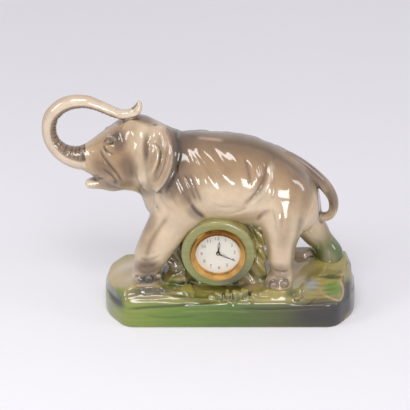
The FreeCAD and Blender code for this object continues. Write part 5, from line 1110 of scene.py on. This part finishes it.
# Flat faces struck off the rocks: a place on each and its outward direction
facets = [
    ((-125, -41, 31), (-0.66, -0.50, 0.56)), ((-129.5, -26, 38), (-0.74, -0.24, 0.63)),
    ((132.0, -27, 29.5), (0.70, -0.42, 0.58)), ((134.5, 6, 36.0), (0.86, 0.02, 0.51)),
    ((-120, 40, 38), (-0.60, 0.50, 0.62)), ((20, 53, 36), (0.05, 0.72, 0.69)), ((-80, 54, 34), (-0.1, 0.75, 0.65)),
    ((122, 46, 42), (0.55, 0.60, 0.58)),
]
rocks = [
    # middle, half sizes, turn, leans right and back: rough blocks
    ((82, 34, 38), (17, 13, 15), -14, -8, -6),
    ((105, 26, 31), (28, 24, 15), -6, -3, 2),
    ((30, 36, 27), (30, 16, 17), 8, 4, -6),
    ((-36, 38, 27), (26, 15, 18), -14, 3, -8),
    ((110, -27, 26.5), (13.5, 17, 10.5), -4, -2, -22),
    ((88, -34, 27), (11, 11, 9), 24, 4, -30),
    ((-66, -16, 42), (11, 12, 13), 14, -12, -16),
    ((-53, -22, 44), (8, 7, 14), -20, 8, -14),
    ((-46, -38, 30), (9, 10, 9), 24, 10, -24),
]
chips = [
    # small sharp stones that catch the light: middle, half sizes, turn
    ((-50, -38, 34), (6, 5, 5), 20), ((-43, -41, 32), (5, 5, 5), -25), ((-12, -46, 32), (5.5, 5, 6), 12),
    ((-3, -46, 32), (4.5, 5, 7), -30), ((7, -47, 33), (5.5, 5, 7.5), 35), ((15, -45, 35), (5, 6, 6), -10),
    ((2, -52, 27), (6, 4, 4.5), 18), ((22, -50, 30), (6, 4, 4), -22), ((28, -44, 34), (6, 5, 4), 30),
    ((-20, -45, 31), (5, 4, 4), -18), ((73, -47, 30), (5, 5, 5), 40),
]


def blockForm(middle, half, turn, leanRight, leanBack, seed):
    pick = np.random.RandomState(seed)
    turnR, right, back = [math.radians(v) for v in (turn, leanRight, leanBack)]
    c, s = math.cos(turnR), math.sin(turnR)
    planes = []
    for axis in range(3):
        for sign in (-1, 1):
            n = pick.uniform(-0.22, 0.22, 3)
            n[axis] = sign
            planes.append((n / np.linalg.norm(n), half[axis]))
    for _ in range(7):
        n = pick.normal(size=3)
        n[2] = abs(n[2]) * 0.8
        n /= np.linalg.norm(n)
        reach = np.sqrt(((n * np.array(half)) ** 2).sum()) * pick.uniform(0.94, 1.08)
        planes.append((n, reach))

    def form(x, y, z):
        px, py, pz = x - middle[0], y - middle[1], z - middle[2]
        qx, qy = px * c + py * s, py * c - px * s
        qz = pz + qx * math.sin(right) + qy * math.sin(back)
        out = None
        for n, reach in planes:
            d = qx * n[0] + qy * n[1] + qz * n[2] - reach
            out = d if out is None else softMax(out, d, 0.9)
        return out

    return form


def joinBlock(block, middle, half, spare, form, blend):
    wide = max(half) * spare
    join(block, [v - wide for v in middle], [v + wide for v in middle], form, blend)


def fromClock(x, z):
    cx, cz = rockyBase["clock"]
    return np.sqrt((x - cx) ** 2 + (z - cz) ** 2)


def footprintForm(inset, x, y):
    # the base's outline: a long octagon with soft corners
    b = rockyBase
    run, reach = b["cornerRun"], b["cornerReach"]
    across = np.abs(x) - (b["halfLength"] - inset)
    deep = np.abs(y) - (b["halfDepth"] - inset)
    corner = ((across * reach + deep * run) + run * reach) / math.hypot(run, reach)
    return softMax(softMax(across, deep, 6.0), corner, 9.0)


def rockTop(x, y):
    # height of the rock at a place, before blocks and chips
    places, edges, heights, rises = np.array(plateau, float).T
    edge = np.interp(x, places, edges) + 1.1 * np.sin(x * 0.21) + 0.8 * np.sin(x * 0.47 + 1)
    level = np.interp(x, places, heights) + np.interp(x, places, rises) * (y - edge)
    level = level + 0.9 * np.sin(x * 0.09 + y * 0.07) + 0.5 * np.sin(x * 0.2 - y * 0.13)
    places, feet, slopes = np.array(frontSlope, float).T
    forward = y + rockyBase["halfDepth"]
    slope = np.interp(x, places, feet) + np.interp(x, places, slopes) * forward
    strata = 0.55 * np.sin(forward * 0.95 + 1.4 * np.sin(x * 0.035) + 0.7 * np.sin(x * 0.09))
    slope = slope + strata * smoothStep(3, 9, forward)
    behind = smoothStep(-2.2, 2.2, y - edge)
    return np.minimum(slope, level) * (1 - behind) + level * behind


def baseField():
    b = rockyBase
    block = newBlock((-142, -61, -4), (142, 61, 132), b["step"])
    low, high = (-140, -60, -3), (140, 60, 60)

    def plinth(x, y, z):
        bulge = 1.0 * np.clip(1 - ((z - 14) / 13) ** 2, 0, 1) - 0.8
        layer = softMax(-z, z - b["bandTop"] + 1.2 * np.sin(x * 0.045), 0.6)
        return softMax(footprintForm(0.0, x, y) - bulge, layer, 1.1)

    join(block, low, high, plinth, 0.5)

    def rockBed(x, y, z):
        side = footprintForm(0.9, x, y) + np.clip(z - 26, 0, 30) * 0.30
        return softMax(side, (z - rockTop(x, y)) * 0.93, 1.6)

    join(block, low, high, rockBed, 0.8)
    for number, (middle, half, turn, right, back) in enumerate(rocks):
        joinBlock(block, middle, half, 1.25, blockForm(middle, half, turn, right, back, 11 + number), 1.4)
    for number, (middle, half, turn) in enumerate(chips):
        joinBlock(block, middle, half, 1.4, blockForm(middle, half, turn, 8, -16, 70 + number), 0.5)
    cuts, x, y, z = windowOf(block, (-142, -61, -4), (142, 61, 66))
    for place, direction in facets:
        n = np.array(direction) / np.linalg.norm(direction)
        flat = (x - place[0]) * n[0] + (y - place[1]) * n[1] + (z - place[2]) * n[2]
        block["d"][cuts] = softMax(block["d"][cuts], np.where(z > 15, flat, -20), 0.9)
    block["d"][cuts] = softMax(block["d"][cuts], softMax(footprintForm(0.0, x, y) - 0.2, -z, 1.2), 1.0)
    cx, cz = b["clock"]

    def fill(x, y, z):
        side = np.maximum(np.abs(x + 15) - 54 + np.clip(z - 60, 0, 60) * 0.08, np.abs(y) - 23)
        rough = 1.2 * np.sin(x * 0.21 + z * 0.13) * np.sin(z * 0.17 + y * 0.2) + 0.9 * np.sin(x * 0.45 + z * 0.36)
        return softMax(side + rough, z - 112, 3.0)

    join(block, (-72, -26, 20), (42, 26, 114), fill, 4.0)

    def drum(x, y, z):
        return softMax(fromClock(x, z) - b["drumRadius"], np.maximum(-42 - y, y - 36), 3.4)

    join(block, (cx - 42, -43, cz - 42), (cx + 42, 37, cz + 42), drum, 1.2)

    def crevice(x, y, z):
        gap = np.abs(fromClock(x, z) - 42.6)
        return 1.5 * np.exp(-(gap / 1.5) ** 2) * smoothStep(-42, -38, y) * (1 - smoothStep(-22, -16, y))

    press(block, (cx - 48, -43, cz - 48), (cx + 48, -14, cz + 48), crevice)
    for width, depth, pixels in crevices:
        places = seenLine(block, pixels)
        if len(places) > 1:
            crease(block, places, width, depth)

    def chamber(x, y, z):
        return np.maximum(fromClock(x, z) - b["chamberRadius"], -34 - y)

    def bore(x, y, z):
        return np.maximum(fromClock(x, z) - b["boreRadius"], y)

    carve(block, (cx - 35, -34, cz - 35), (cx + 35, 40, cz + 35), chamber, 0.8)
    carve(block, (cx - 29, -45, cz - 29), (cx + 29, -20, cz + 29), bore, 0.4)

    def recess(x, y, z):
        return np.maximum(footprintForm(7.0, x, y), z - 2.5)

    carve(block, (-134, -52, -4), (134, 52, 4), recess, 0.8)

    def vent(x, y, z):
        return np.maximum(np.sqrt((x - 69) ** 2 + y ** 2) - 5, z - 9)

    carve(block, (60, -8, -4), (78, 8, 10), vent, 0.6)
    return block


# Lines pressed into the base where the photograph shows them: width, depth (raised where negative), pixels
crevices = [
    (1.4, 1.3, photoLines["bandLeft"]),
    (1.4, 1.2, photoLines["bandRight"]),
    (1.3, -1.0, photoLines["ledge"]),
    (1.4, 1.0, photoLines["ledgeFoot"]),
    (1.2, 0.8, [(134, 299), (152, 300), (172, 298)]),
    (1.5, 1.6, [(161, 262), (168, 266), (176, 270), (183, 271)]),
    (1.5, 1.4, [(162, 254), (170, 258), (179, 262)]),
    (1.4, -1.0, [(163, 258), (172, 262), (181, 266)]),
    (1.6, 1.4, [(262, 231), (267, 240), (268, 251), (263, 262)]),
    (1.6, -1.2, [(258, 229), (263, 240), (263, 252)]),
    (1.6, 1.8, [(322, 276), (332, 275.5), (344, 277)]),
    (1.2, -0.9, photoLines["slab"]),
    (1.2, 0.9, [(318, 295), (310, 302), (303, 307)]),
]
clayColours = {
    "sand": linear(206, 180, 134),
    "olive": linear(114, 102, 42),
    "straw": linear(176, 160, 88),
    "grass": linear(100, 134, 44),
    "bottle": linear(40, 72, 16),
    "bark": linear(118, 104, 78),
    "slate": linear(52, 48, 52),
    "mist": linear(150, 152, 146),
    "blush": linear(204, 178, 154),
    "sage": linear(148, 150, 92),
    "ash": linear(82, 80, 62),
    "umber": linear(66, 54, 20),
    "rim": linear(190, 164, 112),
}
# The band's colour along the base
bandColours = [
    (-138, linear(160, 166, 96)), (-112, linear(140, 154, 66)), (-60, linear(108, 138, 44)), (0, linear(84, 112, 36)),
    (50, linear(84, 94, 44)), (84, linear(66, 64, 50)), (138, linear(62, 60, 56)),
]
basePatches = [
    ("sand", 0.95, (125, 272), (26, 15), -32), ("sand", 0.80, (152, 283), (16, 6), 0),
    ("bark", 0.85, (150, 294), (30, 8), -2), ("slate", 0.55, (147, 289), (14, 4), -4),
    ("umber", 0.55, (162, 290), (10, 3), -4), ("grass", 0.75, (176, 286), (18, 3), -2),
    ("straw", 0.70, (200, 289), (22, 6), 6), ("sand", 0.75, (177, 277), (14, 5), 6),
    ("bottle", 0.55, (190, 297), (24, 5), 4), ("slate", 0.95, (115.5, 299), (6.5, 15), -38),
    ("mist", 0.80, (111, 290), (3.5, 14), -42), ("mist", 0.55, (110, 306), (3.5, 10), -30),
    ("grass", 0.80, (121, 293), (2.5, 9), -40), ("sand", 0.85, (251, 283), (14, 9), 20),
    ("straw", 0.80, (272, 296), (22, 8), -6), ("sand", 0.80, (296, 276), (10, 10), 0),
    ("straw", 0.85, (326, 265), (26, 9), -4), ("sand", 0.65, (306, 270), (16, 6), -8),
    ("olive", 0.55, (318, 258), (16, 4), -6), ("blush", 0.95, (303, 255), (12, 12), 0),
    ("mist", 0.90, (311.5, 285), (9, 8), -10), ("grass", 0.90, (334, 289), (11, 9), 0),
    ("bottle", 0.90, (333, 277.5), (12, 2.6), 0), ("slate", 0.90, (349, 290), (8, 14), 0),
    ("slate", 0.70, (326, 312), (34, 14), 0), ("bottle", 0.60, (292, 293), (8, 5), -10),
    # the narrow mist strip at (353, 292) is a painted highlight along the right end's edge
    ("mist", 0.60, (353, 292), (3, 20), 0), ("straw", 0.60, (350, 318), (5, 9), 30),
]
baseStrokes = [
    # painted shade in the grooves along the top of the band
    ("umber", 0.85, 1.2, photoLines["bandLeft"]),
    ("umber", 0.90, 1.2, photoLines["bandRight"]),
    # painted highlight: the glint along the ledge's top edge
    ("sand", 0.85, 0.9, photoLines["ledge"]),
    # painted shade in the crease under the ledge
    ("umber", 0.55, 0.9, photoLines["ledgeFoot"]),
    ("straw", 0.55, 0.9, [(134, 297), (152, 298), (172, 295.5)]),
    ("bottle", 0.55, 0.9, [(146, 316), (170, 317.5), (196, 316)]),
    ("sage", 0.45, 0.9, [(180, 312), (210, 311), (250, 312)]),
    ("sand", 0.90, 0.8, photoLines["slab"]),
]


def paintBase(block, points, normal):
    x, y, z = points.T
    c = clayColours
    across = picture["middle"] + x / picture["across"]
    down = picture["foot"] - (z + picture["tilt"] * y - picture["footUp"]) / picture["up"]
    places = np.stack([across, down], axis=1)
    along = [row[0] for row in bandColours]
    colours = np.stack([np.interp(x, along, [row[1][n] for row in bandColours]) for n in range(3)], axis=1)
    level = smoothStep(27, 33, z)
    colours = wash(colours, c["olive"], level * 0.55)
    colours = wash(colours, c["straw"], level * smoothStep(0.3, 0.85, normal[:, 2]) * 0.75)
    # the photo's patches stay off the rear face
    fore = 1 - smoothStep(0.2, 0.5, normal[:, 1])
    for colour, amount, middle, half, tilt in basePatches:
        colours = wash(colours, c[colour], inPatch(places, middle, half, tilt) * amount * fore)
    fillArea = smoothStep(44, 50, z) * (np.abs(x + 15) < 60) * (y < 30)
    colours = wash(colours, c["olive"], fillArea)
    colours = wash(colours, c["straw"], fillArea * blob(points, (34, -22, 76), (16, 20, 44)) * 0.8)
    colours = wash(colours, c["bark"], fillArea * blob(points, (-66, -22, 62), (18, 20, 18)) * 0.6)
    for colour, amount, half, pixels in baseStrokes:
        colours = wash(colours, c[colour], onStroke(places, half, pixels) * amount * fore)
    colours = wash(colours, c["rim"], (1 - smoothStep(0.4, 1.8, z)) * 0.8)
    away = fromClock(x, z)
    onDrum = (away < 41.5) & (z > 30) & ((y < -26) | (y > 22) | (away < 35))
    sageMix = np.tile(c["sage"], (len(points), 1))
    sageMix = wash(sageMix, c["straw"], smoothStep(92, 122, z) * 0.35)
    sageMix = wash(sageMix, c["grass"], (1 - smoothStep(44, 74, z)) * (1 - smoothStep(-30, -8, x)) * 0.45)
    sageMix = wash(sageMix, c["ash"], (1 - smoothStep(44, 84, z)) * smoothStep(-22, 10, x) * 0.95)
    colours = np.where(onDrum[:, None], sageMix, colours)
    # painted shade darkens the hollows and crevices, and a painted highlight lightens the raised ridges of the rocks
    hollow = 4.0 - sampleAt(block, block["d"], points + normal * 4.0)
    fine = 2.2 - sampleAt(block, block["d"], points + normal * 2.2)
    colours = wash(colours, c["umber"], smoothStep(1.0, 3.6, hollow) * 0.85)
    colours = wash(colours, c["umber"], smoothStep(0.25, 1.1, fine) * 0.6)
    raised = sampleAt(block, block["d"], points - normal * 2.2) + 2.2
    colours = wash(colours, c["sand"], smoothStep(0.35, 1.3, raised) * level * 0.6)
    bare = (normal[:, 2] < -0.7) & (z < 4)
    colours = wash(colours, linear(224, 208, 178), bare * 1.0)
    return colours


block = baseField()
points, faces, normal = netOf(block)
basePiece = meshPiece("rocky_base", points, faces, {"glazeAndPaintedLight": paintBase(block, points, normal)})
basePiece.data.materials.append(glaze("baseGlaze", "glazeAndPaintedLight", 0.00008, (18, 18, 260)))
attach(basePiece, "housing")
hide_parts("ceramic_base", "ceramic_drum")
print("base", len(points), "points", len(faces) * 2, "triangles")


# The clock keeps the shapes of its CAD nodes; each metal is worked out in nodes from the point's own place
metals = {
    # colour, the same where it has tarnished, smoothest and roughest, cloud size, brush marks along x, y, z
    "gildedBrass": {
        "colour": (230, 180, 104), "tarnish": (120, 76, 26),
        "rough": (0.12, 0.26), "cloud": 60, "brush": (90, 900, 90),
    },
    "yellowBrass": {
        "colour": (214, 178, 104), "tarnish": (158, 118, 58),
        "rough": (0.22, 0.40), "cloud": 90, "brush": (120, 120, 1400),
    },
    "polishedSteel": {
        "colour": (196, 196, 198), "tarnish": (128, 126, 124),
        "rough": (0.18, 0.34), "cloud": 120, "brush": (1500, 200, 200),
    },
    "bluedSteel": {
        "colour": (66, 62, 72), "tarnish": (34, 32, 38),
        "rough": (0.24, 0.40), "cloud": 400, "brush": (600, 600, 600),
    },
    "springSteel": {
        "colour": (88, 92, 108), "tarnish": (58, 54, 60),
        "rough": (0.26, 0.40), "cloud": 200, "brush": (200, 1600, 200),
    },
    "tinplate": {
        "colour": (188, 184, 172), "tarnish": (140, 130, 108),
        "rough": (0.28, 0.46), "cloud": 50, "brush": (60, 60, 700),
    },
}
finishes = {
    "gildedBrass": ["bezel", "sight_ring"],
    "yellowBrass": [
        "back_plate", "front_plate", "barrel", "barrel_cover", "centre_wheel", "third_wheel", "fourth_wheel",
        "escape_wheel", "hour_wheel", "minute_wheel", "centre_collet", "third_collet", "fourth_collet",
        "balance_wheel", "balance_roller", "hairspring_collet", "hairspring_stud", "pillars", "setting_knob",
        "clamp_ring", "hand_nut", "regulator",
    ],
    "polishedSteel": [
        "barrel_arbor", "centre_arbor", "third_arbor", "fourth_arbor", "escape_arbor", "pallet_arbor", "pallet_lever",
        "balance_staff", "cannon_pinion", "minute_wheel_post", "ratchet_wheel", "click", "pillar_nuts",
        "clamp_screws", "cover_posts", "cover_screws", "winding_key", "front_balance_screw", "rear_balance_screw",
    ],
    "bluedSteel": ["hour_hand", "minute_hand", "click_screw"],
    "springSteel": ["hairspring", "mainspring"],
    "tinplate": ["case_drum", "back_cover"],
}


def metal(name, look):
    material, nodes, links, shader, where = newMaterial(name)
    cloud = noiseOf(nodes, links, where.outputs["Object"], look["cloud"], 4)
    brush = noiseOf(nodes, links, where.outputs["Object"], 1.0, 3, look["brush"])
    worn = ranged(nodes, links, cloud, 0.42, 0.72, 0.0, 0.6)
    colour = mixed(nodes, links, worn, look["colour"], look["tarnish"])
    if name == "gildedBrass":
        # painted reflection: the ring turns browner towards its top and stays bright at its bottom, where the polished
        # brass mirrors darker and lighter surroundings
        split = nodes.new("ShaderNodeSeparateXYZ")
        links.new(where.outputs["Object"], split.inputs["Vector"])
        middle = rockyBase["clock"][1]
        high = ranged(nodes, links, split.outputs["Z"], (middle + 8) * mm, (middle + 30) * mm, 0.0, 0.85)
        colour = mixed(nodes, links, high, colour, look["tarnish"])
    links.new(colour, shader.inputs["Base Color"])
    shader.inputs["Metallic"].default_value = 1.0
    links.new(ranged(nodes, links, brush, 0.3, 0.7, *look["rough"]), shader.inputs["Roughness"])
    bumped(nodes, links, shader, brush, 0.25, 0.00001)
    return material


def dialCard(name):
    # matt white card, a little yellowed in clouds
    material, nodes, links, shader, where = newMaterial(name)
    cloud = noiseOf(nodes, links, where.outputs["Object"], 70, 5)
    shade = ranged(nodes, links, cloud, 0.35, 0.75, 0.0, 0.5)
    links.new(mixed(nodes, links, shade, (244, 238, 228), (232, 220, 200)), shader.inputs["Base Color"])
    shader.inputs["Roughness"].default_value = 0.55
    grain = noiseOf(nodes, links, where.outputs["Object"], 2500, 3)
    bumped(nodes, links, shader, grain, 0.15, 0.00001)
    return material


def printedInk(name):
    material, nodes, links, shader, where = newMaterial(name)
    cloud = noiseOf(nodes, links, where.outputs["Object"], 900, 3)
    shade = ranged(nodes, links, cloud, 0.35, 0.7, 0.0, 1.0)
    links.new(mixed(nodes, links, shade, (84, 78, 76), (120, 112, 106)), shader.inputs["Base Color"])
    shader.inputs["Roughness"].default_value = 0.5
    return material


def windowGlass(name):
    material, nodes, links, shader, where = newMaterial(name)
    out = nodes["Material Output"]
    clear = nodes.new("ShaderNodeBsdfTransparent")
    gloss = nodes.new("ShaderNodeBsdfGlossy")
    rim = nodes.new("ShaderNodeFresnel")
    mix = nodes.new("ShaderNodeMixShader")
    clear.inputs["Color"].default_value = (0.995, 1.0, 0.995, 1)
    rim.inputs["IOR"].default_value = 1.45
    # only the side towards the eye shines, or the far side of the pane would turn into a mirror
    side = nodes.new("ShaderNodeNewGeometry")
    front = mathNode(nodes, links, "SUBTRACT", 1, side.outputs["Backfacing"])
    share = mathNode(nodes, links, "MULTIPLY", rim.outputs["Fac"], front)
    haze = noiseOf(nodes, links, where.outputs["Object"], 120, 4)
    links.new(ranged(nodes, links, haze, 0.3, 0.8, 0.01, 0.06), gloss.inputs["Roughness"])
    links.new(share, mix.inputs[0])
    links.new(clear.outputs[0], mix.inputs[1])
    links.new(gloss.outputs[0], mix.inputs[2])
    links.new(mix.outputs[0], out.inputs["Surface"])
    nodes.remove(shader)
    return material


def dress(node, material):
    for slot in frame["nodes"][node].material_slots:
        slot.material = material


for finish, nodeNames in finishes.items():
    made = metal(finish, metals[finish])
    for nodeName in nodeNames:
        dress(nodeName, made)
dress("dial", dialCard("dialCard"))
dress("glass", windowGlass("windowGlass"))
print("clock metals, dial and glass")


# Printed on the dial: twelve plain numbers and a fine dot for each minute
dialPrint = {
    "radius": 18.0,
    "letter": 5.6,
    "turn": 3.7,
    "lift": 0.02,
    "dots": 60,
    "dotRing": 21.9,
    "dotSize": 0.16,
}
ink = printedInk("printedInk")
dialLow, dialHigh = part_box("dial")
dialMiddle = ((dialLow.x + dialHigh.x) / 2, dialLow.y, (dialLow.z + dialHigh.z) / 2)


def addNumbers():
    shape = bmesh.new()
    for hour in range(1, 13):
        letters = bpy.data.curves.new("number", "FONT")
        letters.body = str(hour)
        letters.size = dialPrint["letter"] * mm
        letters.align_x = "CENTER"
        letters.align_y = "CENTER"
        letters.extrude = dialPrint["lift"] * mm
        letters.resolution_u = 4
        holder = linked("number", letters)
        bpy.context.view_layer.update()
        flat = bpy.data.meshes.new_from_object(holder.evaluated_get(bpy.context.evaluated_depsgraph_get()))
        turn = math.radians(30 * hour - dialPrint["turn"])
        right = dialPrint["radius"] * mm * math.sin(turn)
        up = dialPrint["radius"] * mm * math.cos(turn)
        c, s = math.cos(math.radians(dialPrint["turn"])), math.sin(math.radians(dialPrint["turn"]))
        for vertex in flat.vertices:
            a, b, lift = vertex.co
            vertex.co = (
                dialMiddle[0] + right + a * c - b * s,
                dialMiddle[1] - lift,
                dialMiddle[2] + up + a * s + b * c,
            )
        shape.from_mesh(flat)
        bpy.data.objects.remove(holder)
        bpy.data.curves.remove(letters)
        bpy.data.meshes.remove(flat)
    bmesh.ops.remove_doubles(shape, verts=shape.verts, dist=1e-7)
    bmesh.ops.recalc_face_normals(shape, faces=shape.faces)
    mesh = bpy.data.meshes.new("dial_numbers")
    shape.to_mesh(mesh)
    shape.free()
    mesh.materials.append(ink)
    return linked("dial_numbers", mesh)


def dotTree():
    tree = bpy.data.node_groups.new("minuteDots", "GeometryNodeTree")
    sockets = {}
    for name, kind in (("Dots", "NodeSocketInt"), ("Ring radius", "NodeSocketFloat"), ("Dot radius", "NodeSocketFloat"),
                       ("Thickness", "NodeSocketFloat"), ("Middle", "NodeSocketVector"), ("Ink", "NodeSocketMaterial")):
        sockets[name] = tree.interface.new_socket(name, in_out="INPUT", socket_type=kind)
    tree.interface.new_socket("Geometry", in_out="OUTPUT", socket_type="NodeSocketGeometry")
    nodes, links = tree.nodes, tree.links
    start, end = nodes.new("NodeGroupInput"), nodes.new("NodeGroupOutput")
    ring, dot = nodes.new("GeometryNodeMeshCircle"), nodes.new("GeometryNodeMeshCylinder")
    dot.inputs["Vertices"].default_value = 10
    links.new(start.outputs["Dots"], ring.inputs["Vertices"])
    links.new(start.outputs["Ring radius"], ring.inputs["Radius"])
    links.new(start.outputs["Dot radius"], dot.inputs["Radius"])
    links.new(start.outputs["Thickness"], dot.inputs["Depth"])
    spread = nodes.new("GeometryNodeInstanceOnPoints")
    links.new(ring.outputs["Mesh"], spread.inputs["Points"])
    links.new(dot.outputs["Mesh"], spread.inputs["Instance"])
    stand = nodes.new("GeometryNodeTransform")
    stand.inputs["Rotation"].default_value = (math.radians(90), 0, 0)
    links.new(spread.outputs["Instances"], stand.inputs["Geometry"])
    links.new(start.outputs["Middle"], stand.inputs["Translation"])
    real = nodes.new("GeometryNodeRealizeInstances")
    links.new(stand.outputs["Geometry"], real.inputs["Geometry"])
    paint = nodes.new("GeometryNodeSetMaterial")
    links.new(real.outputs["Geometry"], paint.inputs["Geometry"])
    links.new(start.outputs["Ink"], paint.inputs["Material"])
    links.new(paint.outputs["Geometry"], end.inputs["Geometry"])
    return tree, sockets


def addDots():
    tree, sockets = dotTree()
    holder = linked("dotHolder", bpy.data.meshes.new("dotHolder"))
    modifier = holder.modifiers.new("dots", "NODES")
    modifier.node_group = tree
    values = {
        "Dots": dialPrint["dots"], "Ring radius": dialPrint["dotRing"] * mm, "Dot radius": dialPrint["dotSize"] * mm,
        "Thickness": 2 * dialPrint["lift"] * mm, "Middle": dialMiddle, "Ink": ink,
    }
    for name, value in values.items():
        modifier[sockets[name].identifier] = value
    bpy.context.view_layer.update()
    mesh = bpy.data.meshes.new_from_object(holder.evaluated_get(bpy.context.evaluated_depsgraph_get()))
    mesh.name = "minute_dots"
    holder.modifiers.clear()
    bpy.data.objects.remove(holder)
    if not mesh.materials:
        mesh.materials.append(ink)
    return linked("minute_dots", mesh)


for piece in (addNumbers(), addDots()):
    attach(piece, frame["nodes"]["dial"]["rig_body"])
print("dial print")
